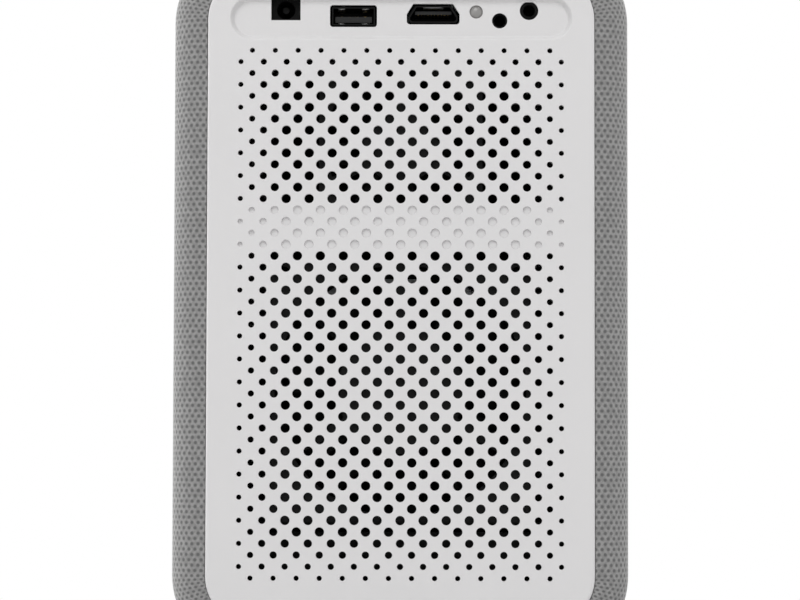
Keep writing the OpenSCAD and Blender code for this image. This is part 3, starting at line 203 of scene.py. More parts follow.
def brushed(name, colour, roughness, along, metallic=1.0):
    """Metal with fine lines along one axis."""
    m = Material(name, colour, roughness, Metallic=metallic)
    long_scale, cross_scale = 40, 6000      # features per metre along the lines and across them
    scale = [long_scale if axis == along else cross_scale for axis in "xyz"]
    stretched = m.node("ShaderNodeMapping", Vector=m.points, Scale=scale).outputs[0]
    streaks = m.noise(1.0, detail=2, vector=stretched)
    m.tint(m.noise(8 * MM), amount=0.06)
    m.rough(streaks, roughness - 0.08, roughness + 0.12)
    m.bump(streaks, depth=0.006 * MM)
    return m.data


def plated(name, colour, roughness):
    """Plated or coated sheet: soft clouds of lighter and darker grain."""
    m = Material(name, colour, roughness, Metallic=1.0)
    flakes = m.math("MULTIPLY", m.cells(2.2 * MM).outputs["Color"], 0.3)
    clouds = m.noise(12 * MM, detail=4)
    m.tint(m.math("ADD", flakes, clouds), amount=0.10)
    m.rough(clouds, roughness - 0.06, roughness + 0.10)
    m.bump(m.noise(0.5 * MM, detail=4), depth=0.006 * MM)
    return m.data


def turned_metal(name, colour, roughness):
    """Metal with fine tool marks."""
    m = Material(name, colour, roughness, Metallic=1.0)
    marks = m.noise(0.25 * MM, detail=4)
    m.tint(m.noise(3 * MM), amount=0.07)
    m.rough(marks, roughness - 0.05, roughness + 0.10)
    m.bump(marks, depth=0.008 * MM)
    return m.data


def knit():
    """Knitted mesh: rows of small holes, each row half a pitch along from the last. The holes
    are painted dark, as painted shade of the inside seen through them. The UV map counts
    holes along a row in u, and rows in v."""
    m = Material("knit", grey(140), 0.9, Sheen_Weight=0.55, Sheen_Roughness=0.3)
    # hole is painted shade: the dark inside seen through the gaps, not a colour of the yarn
    hole, dark_yarn, light_yarn = grey(96), grey(134, 0.004), grey(150, 0.004)
    two_rows = 2 * ROW_SPACING / KNIT_PITCH
    uv = m.node("ShaderNodeSeparateXYZ", Vector=m.node("ShaderNodeUVMap").outputs[0])

    def distance(shift):
        """Distance to the nearest hole in every other row, in pitches."""
        u = m.math("SUBTRACT", m.math("FRACT", m.math("ADD", uv.outputs[0], shift)), 0.5)
        half_rows = m.math("MULTIPLY_ADD", uv.outputs[1], 0.5, shift)
        v = m.math("SUBTRACT", m.math("FRACT", half_rows), 0.5)
        v = m.math("MULTIPLY", v, two_rows)
        return m.math("SQRT", m.math("ADD", m.math("POWER", u, 2.0), m.math("POWER", v, 2.0)))

    away = m.math("MINIMUM", distance(0.0), distance(0.5))
    fuzz = m.noise(0.22 * MM, detail=3)
    ragged = 0.10           # how much the fuzz moves the rims of the holes, in pitches
    away = m.math("ADD", away, m.math("MULTIPLY_ADD", fuzz, ragged, -ragged / 2))
    yarn = m.ramp(m.noise(1.1 * MM, detail=2), 0.35, 0.65)
    strand = m.mix(yarn, (*dark_yarn, 1), (*light_yarn, 1))
    net = m.ramp(away, 0.13, 0.40)
    # the gaps get the painted shade, the net of yarn its own colour
    m.put(m.shader.inputs["Base Color"], m.mix(net, (*hole, 1), strand))
    m.bump(m.ramp(away, 0.12, 0.52), depth=0.08 * MM, strength=0.5)
    m.bump(fuzz, depth=0.03 * MM, strength=0.5)
    return m.data


def circuit(name):
    """Circuit board: solder mask over tracks, with small tinned pads."""
    mask, track = (0.010, 0.070, 0.030, 1), (0.020, 0.120, 0.052, 1)
    tin = (0.55, 0.52, 0.42, 1)
    m = Material(name, (0.012, 0.085, 0.035), 0.38, Coat_Weight=0.3)
    tracks = m.cells(2.4 * MM, Randomness=0.8)
    tracks.distance = "MANHATTAN"
    lines_per_cell = 3.0
    steps = m.math("FRACT", m.math("MULTIPLY", tracks.outputs[0], lines_per_cell))
    line = m.ramp(steps, 0.42, 0.5)
    pads = m.cells(3.1 * MM, Randomness=0.9)
    pad = m.ramp(pads.outputs[0], 0.10, 0.13, out_low=1, out_high=0)
    m.put(m.shader.inputs["Base Color"], m.mix(pad, m.mix(line, mask, track), tin))
    m.bump(line, depth=0.03 * MM)
    return m.data


def glass(name, colour, tint):
    """Coated optical glass, whose reflections have a tint."""
    m = Material(name, colour, 0.02, Transmission_Weight=1.0, IOR=1.52, Specular_Tint=(*tint, 1))
    m.rough(m.noise(6 * MM), 0.01, 0.04)
    return m.data


def light_pipe(name):
    """Milky plastic of the status lamp's window."""
    m = Material(name, grey(166, 0.01), 0.25, Transmission_Weight=0.25, Subsurface_Weight=0.3,
                 Subsurface_Radius=(0.8 * MM, 0.8 * MM, 0.8 * MM), IOR=1.49)
    m.tint(m.noise(1.2 * MM), amount=0.06)
    return m.data


COVER_GREY = (linear(219.5), linear(218.4), linear(218.8))

# Each has its colour and roughness, and a moulded one the grain and depth of its texture too.
MATERIALS = {
    "fabric": knit(),
    "cover_plastic": moulded("cover_plastic", COVER_GREY, 0.42, 0.30 * MM, 0.010 * MM),
    "shell_plastic": moulded("shell_plastic", grey(24), 0.6),
    "dark_plastic": moulded("dark_plastic", grey(17), 0.42, 0.25 * MM, Specular_IOR_Level=0.25),
    "key_plastic": moulded("key_plastic", grey(70), 0.5, 0.2 * MM, 0.012 * MM),
    "tray_plastic": moulded("tray_plastic", grey(38), 0.45),
    "fan_plastic": moulded("fan_plastic", grey(9), 0.6, Specular_IOR_Level=0.2),
    "speaker_basket": moulded("speaker_basket", grey(20), 0.45),
    "rubber": moulded("rubber", grey(30), 0.8, 0.5 * MM, 0.04 * MM),
    "hub_metal": moulded("hub_metal", grey(84), 0.32, 0.3 * MM, Metallic=0.6),
    "tongue_plastic": moulded("tongue_plastic", grey(38), 0.55, 0.15 * MM,
                              Specular_IOR_Level=0.2),
    "jack_plastic": moulded("jack_plastic", grey(6), 0.6, 0.2 * MM, Specular_IOR_Level=0.1),
    "chip_plastic": moulded("chip_plastic", grey(30), 0.5, 0.15 * MM),
    "mark_paint": moulded("mark_paint", grey(205), 0.55, 0.2 * MM, 0.008 * MM),
    "brass": turned_metal("brass", (0.62, 0.42, 0.16), 0.28),
    "gold": turned_metal("gold", (0.80, 0.56, 0.22), 0.22),
    "nickel": turned_metal("nickel", (0.50, 0.49, 0.47), 0.25),
    # socket_metal_painted_shade: the sockets' steel painted near black, painted shade of the port
    # cut-outs
    "socket_metal_painted_shade": turned_metal("socket_metal_painted_shade", grey(26), 0.5),
    # spring_metal_painted_glint: the sockets' steel painted near white, a painted glint on the
    # spring leaves
    "spring_metal_painted_glint": turned_metal("spring_metal_painted_glint", grey(180), 0.35),
    "steel": plated("steel", (0.55, 0.56, 0.57), 0.30),
    "coated_steel": plated("coated_steel", grey(62), 0.48),
    "black_anodised": brushed("black_anodised", grey(26), 0.5, "y", metallic=0.5),
    "mirror": brushed("mirror", (0.88, 0.89, 0.91), 0.04, "x"),
    "glass": glass("glass", (0.97, 0.98, 1.0), (0.13, 0.10, 0.26)),
    "light_lens": light_pipe("light_lens"),
    "circuit_board": circuit("circuit_board"),
}

# nodes that look unlike the rest of their slot
# the USB and HDMI shells take the steel painted dark as shade
OWN_MATERIAL = {"usb_socket": "socket_metal_painted_shade", "hdmi_socket": "socket_metal_painted_shade",
                "dc_jack": "jack_plastic", "av_jack": "jack_plastic", "audio_jack": "jack_plastic",
                "heatsink": "black_anodised", "chassis_plate": "black_anodised",
                "drive_casing": "coated_steel", "drive_lid": "coated_steel"}


def dress_nodes():
    """Gives each carried-over node its own material or that of its slot."""
    for row in frame["record"]["subparts"]:
        node = frame["nodes"][row["node"]]
        material = OWN_MATERIAL.get(row["node"], row["material_slot"])
        node.data.materials.clear()
        node.data.materials.append(MATERIALS[material])


# ---------- mesh making ----------

def add_piece(name, points, faces, material, body, smooth=True):
    """A mesh piece that rides on a body. points are in the frame of the whole object."""
    mesh = bpy.data.meshes.new(name)
    mesh.from_pydata([tuple(p) for p in points], [], faces)
    mesh.validate()
    if smooth:
        mesh.shade_smooth()
    mesh.materials.append(MATERIALS[material])
    piece = new_object(name, mesh)
    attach(piece, body)
    return piece


class Batch:
    """Collects small closed solids into one piece."""

    def __init__(self):
        self.points = []
        self.faces = []

    def grid(self, rows, closed=False):
        """Joins loops of points, one after the other, into a skin. A closed skin runs from its
        last loop back to its first, and an open one gets end caps."""
        start = len(self.points)
        count = len(rows[0])
        for row in rows:
            self.points.extend(row)
        for r in range(len(rows) if closed else len(rows) - 1):
            below = start + r * count
            above = start + ((r + 1) % len(rows)) * count
            for i in range(count):
                j = (i + 1) % count
                self.faces.append((below + i, below + j, above + j, above + i))
        if not closed:
            last = start + (len(rows) - 1) * count
            self.faces.append(tuple(start + i for i in reversed(range(count))))
            self.faces.append(tuple(last + i for i in range(count)))

    def bevelled_box(self, low, high, bevel):
        """Box whose upright edges and rims are bevelled, as a stack of eight-sided rings."""
        low, high = Vector(low), Vector(high)

        def ring(z, inset):
            x0, y0, x1, y1 = low.x + inset, low.y + inset, high.x - inset, high.y - inset
            return [(x0 + bevel, y0, z), (x1 - bevel, y0, z), (x1, y0 + bevel, z),
                    (x1, y1 - bevel, z), (x1 - bevel, y1, z), (x0 + bevel, y1, z),
                    (x0, y1 - bevel, z), (x0, y0 + bevel, z)]

        self.grid([ring(low.z, bevel), ring(low.z + bevel, 0),
                   ring(high.z - bevel, 0), ring(high.z, bevel)])

    def revolve(self, profile, centre, base_r=0.0, axis="y", steps=48):
        """Turns a closed profile about an axis, Y or Z, through centre. The profile is in
        millimetres: (radius beyond base_r, distance along the axis)."""
        cx, cy, cz = centre
        rows = []
        for i in range(steps):
            turn = 2 * math.pi * i / steps
            c, s = math.cos(turn), math.sin(turn)
            row = []
            for beyond, along in profile:
                r = base_r + beyond * MM
                if axis == "y":
                    row.append((cx + r * c, cy + along * MM, cz - r * s))
                else:
                    row.append((cx + r * c, cy + r * s, cz + along * MM))
            rows.append(row)
        self.grid(rows, closed=True)

    def piece(self, name, material, body, slot, smooth=True):
        """Makes the solids collected so far into a piece."""
        return add_piece(name, self.points, self.faces, material, body, smooth)


def sharpen(piece, degrees=35):
    """Splits the shading at edges sharper than the given angle."""
    piece.data.set_sharp_from_angle(angle=math.radians(degrees))


def cut(piece, outline, z0, z1):
    """Cuts an upright prism with the given outline out of a piece."""
    cutter = Batch()
    cutter.grid([[(x, y, z) for x, y in outline] for z in (z0, z1)])
    tool = cutter.piece("cutter", "steel", "root", "steel", smooth=False)
    modifier = piece.modifiers.new("cut", "BOOLEAN")
    modifier.operation = "DIFFERENCE"
    modifier.solver = "EXACT"
    modifier.object = tool
    graph = bpy.context.evaluated_depsgraph_get()
    mesh = bpy.data.meshes.new_from_object(piece.evaluated_get(graph))
    piece.modifiers.clear()
    piece.data = mesh
    bpy.data.objects.remove(tool)


def rounded_outline(w, h, r, centre_y=0):
    """Outline of a rectangle with round corners, whose middle is on the Y axis."""
    steps = 12
    points = []
    for sx, sy, start in ((1, 1, 0), (-1, 1, 90), (-1, -1, 180), (1, -1, 270)):
        for i in range(steps + 1):
            turn = math.radians(start + 90 * i / steps)
            points.append((sx * (w / 2 - r) + r * math.cos(turn),
                           centre_y + sy * (h / 2 - r) + r * math.sin(turn)))
    return points


# ---------- fabric ----------

SIDE_STEP = 4 * MM          # distance between the stations along a straight side
CORNER_STEPS = 20           # stations in a long corner
REAR_STEPS, STRAIGHT_STEPS, FRONT_STEPS = 18, 36, 10    # steps of the section, rear to front
PLATE_GAP = 0.2 * MM        # gap between the fabric and a plate that lies in it
BASE_R = 10 * MM            # corner radius of the base plate's cut-out
CUT_DEPTH = 4 * MM          # how far a cut-out reaches into the sleeve
CUT_OVER = MM               # how far its tool stands out of the sleeve
FABRIC_SHARP = 40           # degrees


def perimeter(half_w, half_h):
    """Stations round a rectangle with round corners of CORNER_R, anticlockwise from the right:
    (centre of the turn, direction away from it, length run so far)."""
    stations = []
    run = 0.0
    arc = CORNER_R * math.pi / 2
    reach_x, reach_z = half_w - CORNER_R, half_h - CORNER_R
    corners = [(reach_x, reach_z), (-reach_x, reach_z), (-reach_x, -reach_z), (reach_x, -reach_z)]
    for k, corner in enumerate(corners):
        last, here = Vector(corners[k - 1]), Vector(corner)
        side = (here - last).length
        steps = max(1, round(side / SIDE_STEP))
        first_turn = math.radians(90 * k)
        out = Vector((math.cos(first_turn), math.sin(first_turn)))
        for i in range(steps):
            stations.append((last.lerp(here, i / steps), out, run + side * i / steps))
        run += side
        for i in range(CORNER_STEPS):
            turn = math.radians(90 * (k + i / CORNER_STEPS))
            out = Vector((math.cos(turn), math.sin(turn)))
            stations.append((here, out, run + arc * i / CORNER_STEPS))
        run += arc
    return stations, run


def sleeve_section(rear_y, front_y, inset):
    """Section of the sleeve from its rear lip to its front lip: (inset, y, length run so far).
    It lies inset below the sleeve's surface."""
    rear_r, front_r = REAR_ROUND - inset, FRONT_ROUND - inset
    rear_arc, front_arc = REAR_ROUND * math.pi / 2, FRONT_ROUND * math.pi / 2
    straight = (rear_y - REAR_ROUND) - (front_y + FRONT_ROUND)
    points = []
    for i in range(REAR_STEPS + 1):
        turn = math.radians(90 * (1 - i / REAR_STEPS))
        points.append((REAR_ROUND - rear_r * math.cos(turn),
                       rear_y - REAR_ROUND + rear_r * math.sin(turn),
                       rear_arc * i / REAR_STEPS))
    for i in range(1, STRAIGHT_STEPS):
        along = straight * i / STRAIGHT_STEPS
        points.append((inset, rear_y - REAR_ROUND - along, rear_arc + along))
    for i in range(FRONT_STEPS + 1):
        turn = math.radians(90 * i / FRONT_STEPS)
        points.append((FRONT_ROUND - front_r * math.cos(turn),
                       front_y + FRONT_ROUND - front_r * math.sin(turn),
                       rear_arc + straight + front_arc * i / FRONT_STEPS))
    return points


def cut_out(wrap, plate, z0, z1, corner_r=None):
    """Cuts room for a plate out of the fabric. A plate with no corner radius has round ends."""
    low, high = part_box(plate)
    w, h = high.x - low.x + 2 * PLATE_GAP, high.y - low.y + 2 * PLATE_GAP
    just_under = 0.01 * MM      # keeps the ends from meeting in one point
    cut(wrap, rounded_outline(w, h, corner_r or h / 2 - just_under, (low.y + high.y) / 2), z0, z1)


def make_fabric():
    """The knitted wrap: a thin closed skin round the sleeve, cut out for the base and the keys."""
    low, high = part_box("fabric_wrap")
    middle = (low + high) / 2
    half = (high - low) / 2
    stations, around = perimeter(half.x, half.z)
    outer = sleeve_section(high.y, low.y, 0.0)
    inner = sleeve_section(high.y, low.y, FABRIC_T)
    loop = outer + inner[::-1]
    points = []
    uv_of_point = []
    for centre, out, run in stations:
        for inset, y, along in loop:
            r = CORNER_R - inset
            points.append((middle.x + centre.x + out.x * r, y, middle.z + centre.y + out.y * r))
            uv_of_point.append((along / KNIT_PITCH, run / around * KNIT_ROWS))
    count = len(loop)
    faces = []
    for s in range(len(stations)):
        here, there = s * count, ((s + 1) % len(stations)) * count
        for i in range(count):
            j = (i + 1) % count
            faces.append((here + i, there + i, there + j, here + j))
    wrap = add_piece("fabric_mesh", points, faces, "fabric", "root")
    layer = wrap.data.uv_layers.new(name="UVMap")
    seam = len(stations) - 1
    for polygon in wrap.data.polygons:
        at_seam = polygon.index // count == seam
        for loop_index in polygon.loop_indices:
            vertex = wrap.data.loops[loop_index].vertex_index
            u, v = uv_of_point[vertex]
            if at_seam and v < KNIT_ROWS / 2:
                v += KNIT_ROWS
            layer.data[loop_index].uv = (u, v)
    cut_out(wrap, "base_plate", low.z - CUT_OVER, low.z + CUT_DEPTH, BASE_R)
    cut_out(wrap, "key_plate", high.z - CUT_DEPTH, high.z + CUT_OVER)
    sharpen(wrap, FABRIC_SHARP)
    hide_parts("fabric_wrap")


# ---------- ports ----------

# In this part, tables and profiles are in millimetres. Depths count from a socket's face,
# heights from its foot, and widths from its middle.

TONGUE_HALF_W = 5.6         # of the USB and the HDMI socket
MOUTH = 1.0                 # the tongue starts further in than this
CONTACT_START = 2.0

USB_TONGUE = (1.0, 2.8)
USB_CONTACTS = ((-3.5, 8), (-1, 7), (1, 7), (3.5, 8))   # place across, length
USB_CONTACT_HALF_W, USB_CONTACT_T, USB_CONTACT_BEVEL = 0.55, 0.12, 0.04
USB_SHELL_H = 5.6
USB_WALL = 0.4
USB_LEAF_PLACES = (-3.7, 3.7)
USB_LEAF_START, USB_LEAF_LENGTH = 0.6, 7.4
USB_LEAF_HALF_W, USB_LEAF_TAPER, USB_LEAF_T = 1.15, 0.25, 0.15
USB_LEAF_DIP = 0.55

HDMI_MIDDLE_H = 2.6
HDMI_TONGUE = (2.7, 3.7)
HDMI_CONTACTS = ((10, 0.02, 0.1), (9, 1.1, 1.18))   # number, low and top above the middle
HDMI_CONTACT_PITCH, HDMI_CONTACT_END = 1.0, 8.0
HDMI_CONTACT_HALF_W, HDMI_CONTACT_BEVEL = 0.22, 0.03
HDMI_LEAF_H = 2.2           # above the middle
HDMI_LEAF_START, HDMI_LEAF_LENGTH = 0.3, 5.5
HDMI_LEAF_HALF_W, HDMI_LEAF_T, HDMI_LEAF_DIP = 3.1, 0.14, 0.4

LEAF_STEPS = 8
LEAF_CROWN = 1.4            # above 1, the ends of a leaf lie flatter

# bore radius, and height of the bore's axis
JACKS = {"audio_jack": (1.8, 3.4), "av_jack": (1.8, 3.2), "dc_jack": (2.8, 3.95)}
JACK_MOUTH = ((-0.02, -1.2), (-0.02, -0.1), (0.18, 0.14), (0.42, 0.14), (0.42, 0.02), (0.1, -1.2))
JACK_CONTACT = ((-0.25, -6.4), (-0.25, -5.2), (-0.02, -5.0), (-0.02, -6.6))


def dress_tongue(name, tongue):
    """Gives the tongue inside a socket its own plastic: the faces near the middle, behind the
    mouth, between the two heights of the tongue."""
    mesh = frame["nodes"][name].data
    low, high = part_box(name)
    middle_x = (low.x + high.x) / 2
    slack = 0.02 * MM
    z0, z1 = tongue[0] * MM - slack, tongue[1] * MM + slack
    own_plastic = len(mesh.materials)
    mesh.materials.append(MATERIALS["tongue_plastic"])
    for polygon in mesh.polygons:
        x, y, z = polygon.center
        inside = abs(x - middle_x) < TONGUE_HALF_W * MM + slack and y < high.y - MOUTH * MM
        if inside and z0 < z - low.z < z1:
            polygon.material_index = own_plastic


def leaf_bulge(share):
    """How far a spring leaf stands off its wall, from 0 to 1, at a share of its length."""
    return math.sin(math.pi * share) ** LEAF_CROWN


def make_usb_details():
    """Contacts on the tongue, and the spring leaves in the walls of the USB socket."""
    low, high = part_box("usb_socket")
    middle_x = (low.x + high.x) / 2
    tongue_top = low.z + USB_TONGUE[1] * MM
    contacts = Batch()
    for x, length in USB_CONTACTS:
        x0, x1 = (middle_x + (x + side * USB_CONTACT_HALF_W) * MM for side in (-1, 1))
        contacts.bevelled_box((x0, high.y - (CONTACT_START + length) * MM, tongue_top),
                              (x1, high.y - CONTACT_START * MM, tongue_top + USB_CONTACT_T * MM),
                              USB_CONTACT_BEVEL * MM)
    contacts.piece("usb_contacts", "gold", "root", "brass")
    dress_tongue("usb_socket", USB_TONGUE)
    springs = Batch()
    for place in USB_LEAF_PLACES:
        x = middle_x + place * MM
        for side in (-1, 1):
            wall_z = low.z + USB_SHELL_H * MM / 2 - side * (USB_SHELL_H / 2 - USB_WALL) * MM
            rows = []
            for i in range(LEAF_STEPS + 1):
                t = i / LEAF_STEPS
                y = high.y - (USB_LEAF_START + USB_LEAF_LENGTH * t) * MM
                w = (USB_LEAF_HALF_W - USB_LEAF_TAPER * t) * MM
                z = wall_z + side * USB_LEAF_DIP * MM * leaf_bulge(t)
                far_z = z + side * USB_LEAF_T * MM
                rows.append([(x - w, y, z), (x + w, y, z), (x + w, y, far_z), (x - w, y, far_z)])
            springs.grid(rows)
    # the leaves carry the steel painted light as a glint
    springs.piece("usb_springs", "spring_metal_painted_glint", "root", "steel")


def make_hdmi_details():
    """Contacts above and below the tongue, and the spring leaf of the HDMI socket."""
    low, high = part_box("hdmi_socket")
    middle_x = (low.x + high.x) / 2
    middle_z = low.z + HDMI_MIDDLE_H * MM
    contacts = Batch()
    for count, z0, z1 in HDMI_CONTACTS:
        for i in range(count):
            x = middle_x + (i - (count - 1) / 2) * HDMI_CONTACT_PITCH * MM
            half_w = HDMI_CONTACT_HALF_W * MM
            contacts.bevelled_box((x - half_w, high.y - HDMI_CONTACT_END * MM, middle_z + z0 * MM),
                                  (x + half_w, high.y - CONTACT_START * MM, middle_z + z1 * MM),
                                  HDMI_CONTACT_BEVEL * MM)
    contacts.piece("hdmi_contacts", "gold", "root", "brass")
    dress_tongue("hdmi_socket", HDMI_TONGUE)
    x0, x1 = middle_x - HDMI_LEAF_HALF_W * MM, middle_x + HDMI_LEAF_HALF_W * MM
    rows = []
    for i in range(LEAF_STEPS + 1):
        t = i / LEAF_STEPS
        y = high.y - (HDMI_LEAF_START + HDMI_LEAF_LENGTH * t) * MM
        z = middle_z + HDMI_LEAF_H * MM - HDMI_LEAF_DIP * MM * leaf_bulge(t)
        low_z = z - HDMI_LEAF_T * MM
        rows.append([(x1, y, z), (x0, y, z), (x0, y, low_z), (x1, y, low_z)])
    spring = Batch()
    spring.grid(rows)
    # the leaf carries the steel painted light as a glint
    spring.piece("hdmi_spring", "spring_metal_painted_glint", "root", "steel")


def make_jack_details():
    """Mouth rings and inner contact rings of both round jacks and of the power inlet."""
    for node, (bore_r, axis_h) in JACKS.items():
        low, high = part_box(node)
        centre = ((low.x + high.x) / 2, high.y, low.z + axis_h * MM)
        rings = Batch()
        for profile in (JACK_MOUTH, JACK_CONTACT):
            rings.revolve(profile, centre, bore_r * MM)
        sharpen(rings.piece(node + "_rings", "jack_plastic", "root", "dark_plastic"))


# ---------- keys ----------

DISH_DEPTH, DISH_R = 0.3 * MM, 20 * MM      # the hollow in a key's top
MARK_SINK, MARK_RISE = -0.03 * MM, 0.07 * MM


def bar(x0, y0, x1, y1):
    """Outline of a rectangle."""
    return [(x0, y0), (x1, y0), (x1, y1), (x0, y1)]


def arc_band(r0, r1, start, end):
    """Band between two radii, from one angle to another, in degrees."""
    steps = 20
    turns = [math.radians(start + (end - start) * i / steps) for i in range(steps + 1)]
    return ([(r1 * math.cos(t), r1 * math.sin(t)) for t in turns]
            + [(r0 * math.cos(t), r0 * math.sin(t)) for t in reversed(turns)])


# plain signs: the piece, its key, and its outlines in millimetres from the key's middle
KEY_MARKS = (
    ("power_mark", "key_power", [arc_band(1.5, 1.9, -235, 55), bar(-0.2, 0.6, 0.2, 2.2)]),
    ("minus_mark", "key_volume_down", [bar(-1.6, -0.22, 1.6, 0.22)]),
    ("play_mark", "key_play", [[(-1.1, -1.5), (1.7, 0), (-1.1, 1.5)]]),
    ("plus_mark", "key_volume_up", [bar(-1.6, -0.22, -0.22, 0.22), bar(-0.22, -1.6, 0.22, 1.6),
                                    bar(0.22, -0.22, 1.6, 0.22)]),
    ("source_mark", "key_source", [bar(-1.7, -1.2, -1.35, 1.2), bar(-1.35, 0.85, 1.35, 1.2),
                                   bar(-1.35, -1.2, 1.35, -0.85), bar(1.35, -1.2, 1.7, 1.2)]),
)


def body_of(node):
    """The body that a CAD node belongs to."""
    bodies = frame["record"]["behaviour"]["bodies"]
    return next(body for body, nodes in bodies.items() if node in nodes)


def make_key_marks():
    """A raised sign in the dished top of each key."""
    for name, key, outlines in KEY_MARKS:
        low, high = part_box(key)
        cx, cy = (low.x + high.x) / 2, (low.y + high.y) / 2
        mark = Batch()
        for outline in outlines:
            rows = []
            for lift in (MARK_SINK, MARK_RISE):
                row = []
                for x, y in outline:
                    px, py = x * MM, y * MM
                    dish = high.z - DISH_DEPTH + (px * px + py * py) / (2 * DISH_R)
                    row.append((cx + px, cy + py, dish + lift))
                rows.append(row)
            mark.grid(rows)
        sharpen(mark.piece(name, "mark_paint", body_of(key), "key_plastic"))


# ---------- lens ----------

BARREL_WALL = 2.5 * MM
# profiles in millimetres: radius beyond the bore, and depth from the barrel's mouth
RETAINING_RING = ((-1.9, 2.0), (-1.4, 1.7), (-1.02, 1.9), (-1.02, 2.6), (-1.9, 2.6))
BAFFLES, BAFFLE_START, BAFFLE_PITCH = 6, 11.5, 3.2
LENS_STEPS = 96


def make_lens_details():
    """Retaining ring and baffles inside the lens barrel."""
    low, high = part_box("lens_barrel")
    mouth = ((low.x + high.x) / 2, low.y, (low.z + high.z) / 2)
    bore_r = (high.x - low.x) / 2 - BARREL_WALL
    rings = Batch()
    rings.revolve(RETAINING_RING, mouth, bore_r, steps=LENS_STEPS)
    for i in range(BAFFLES):
        y = BAFFLE_START + BAFFLE_PITCH * i
        baffle = ((-2.8, y + 0.5), (-2.02, y), (-2.02, y + 1.0))
        rings.revolve(baffle, mouth, bore_r, steps=LENS_STEPS)
    sharpen(rings.piece("lens_rings", "dark_plastic", "lens_barrel", "dark_plastic"))


# ---------- disc drive ----------

THREAD_PITCH, THREAD_DEPTH = 3 * MM, 0.28 * MM
THREAD_STEP = 0.25 * MM     # distance between two rings of points along the screw
THREAD_SIDES = 16           # points in a ring
PLAIN_START, PLAIN_END = 1.6 * MM, 2.4 * MM     # lengths without a thread

# place of the objective lens at rest, and profiles in millimetres: radius, and height
OBJECTIVE_X, OBJECTIVE_Y = 15.556 * MM, 3.456 * MM
OBJECTIVE_DROP = 0.8 * MM   # the lens stands this far below the top of the sled
OBJECTIVE_LENS = ((0.05, 0.55), (1.2, 0.42), (2.0, 0.1), (2.0, 0.02), (0.05, 0.02))
OBJECTIVE_RING = ((2.05, 0.02), (2.05, 0.55), (2.5, 0.55), (2.5, 0.02))
OBJECTIVE_STEPS = 40


def make_leadscrew():
    """The pickup's leadscrew with its thread, along the diagonal of the tray."""
    low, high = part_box("leadscrew")
    r = (high.z - low.z) / 2
    axis_z = (low.z + high.z) / 2
    direction = Vector((1, 1, 0)).normalized()
    up = Vector((0, 0, 1))
    side = up.cross(direction)
    # the box of this slanted cylinder reaches past the ends of its axis
    past_end = direction * (r * math.sqrt(0.5))
    start = Vector((low.x, low.y, axis_z)) + past_end
    end = Vector((high.x, high.y, axis_z)) - past_end
    length = (end - start).length
    steps = int(length / THREAD_STEP)
    rows = []
    for i in range(steps + 1):
        along = length * i / steps
        plain = along < PLAIN_START or along > length - PLAIN_END
        row = []
        for k in range(THREAD_SIDES):
            turn = 2 * math.pi * k / THREAD_SIDES
            phase = (along / THREAD_PITCH - k / THREAD_SIDES) % 1
            groove = max(0.0, math.cos((phase - 0.5) * 2 * math.pi)) ** 2
            cut_r = r - (0 if plain else THREAD_DEPTH * groove)
            row.append(start + direction * along + side * (cut_r * math.cos(turn))
                       + up * (cut_r * math.sin(turn)))
        rows.append(row)
    screw = Batch()
    screw.grid(rows)
    piece = screw.piece("threaded_leadscrew", "steel", "leadscrew", "steel")
    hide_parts("leadscrew")


def make_pickup_details():
    """Objective lens and the ring that holds it."""
    low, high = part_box("pickup_sled")
    foot = Vector((OBJECTIVE_X, OBJECTIVE_Y, high.z - OBJECTIVE_DROP))
    lens, ring = Batch(), Batch()
    lens.revolve(OBJECTIVE_LENS, foot, axis="z", steps=OBJECTIVE_STEPS)
    lens.piece("objective_lens", "glass", "pickup", "glass")
    ring.revolve(OBJECTIVE_RING, foot, axis="z", steps=OBJECTIVE_STEPS)
    sharpen(ring.piece("objective_ring", "gold", "pickup", "brass"))


# ---------- electronics ----------

BOARD_T = 1.6 * MM
# parts on a board, in millimetres: width, depth, height, and whether they are dark
SMALL_PARTS = ((3.2, 2.4, 1.0, True), (1.6, 0.8, 0.6, False), (2.0, 1.25, 0.7, True),
               (4.2, 4.2, 0.9, True), (1.0, 0.5, 0.4, False))
PART_GAP, PART_BEVEL = 0.4, 0.08
TRIES_PER_PART = 8


def populate(name, board, below, seed, count, zone):
    """Small parts soldered on or below a board, at seeded places in a zone: its ends in X and
    in Y, in millimetres."""
    low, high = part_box(board)
    face_z = high.z - BOARD_T if below else low.z + BOARD_T
    rng = random.Random(seed)
    dark, bright = Batch(), Batch()
    x0, x1, y0, y1 = zone
    placed = []
    for _ in range(count * TRIES_PER_PART):
        if len(placed) == count:
            break
        w, d, h, is_dark = SMALL_PARTS[rng.randrange(len(SMALL_PARTS))]
        x, y = rng.uniform(x0, x1), rng.uniform(y0, y1)
        if any(abs(x - px) < (w + pw) / 2 + PART_GAP and abs(y - py) < (d + pd) / 2 + PART_GAP
               for px, py, pw, pd in placed):
            continue
        placed.append((x, y, w, d))
        z0, z1 = (face_z - h * MM, face_z) if below else (face_z, face_z + h * MM)
        batch = dark if is_dark else bright
        batch.bevelled_box(((x - w / 2) * MM, (y - d / 2) * MM, z0),
                           ((x + w / 2) * MM, (y + d / 2) * MM, z1), PART_BEVEL * MM)
    dark.piece(name + "_chips", "chip_plastic", "root", "dark_plastic")
    bright.piece(name + "_capacitors", "nickel", "root", "steel")


# ---------- stage ----------

WHITE = (1, 1, 1, 1)
WORLD_LIGHT = 0.42          # strength of the even light from all round

CAMERA_PLACE = (-3.3 * MM, 992.5 * MM, 64.2 * MM)
LOOK_UP, ROLL, HEADING = 2.995, -0.129, 180.216     # degrees
FOCAL_LENGTH, SENSOR_WIDTH = 135, 36                # millimetres
NEAREST = 0.01
SHIFT_X = 0.0003            # share of the picture's width

FLOOR_HALF = 4.0
FLOOR_DROP = 0.1 * MM       # keeps the floor just below the feet
FLOOR_GREY = (0.80, 0.80, 0.80, 1)
FADE_START, FADE_END = 0.16, 0.40       # distances from the middle

LAMP_TARGET = Vector((0, 0, 110 * MM))
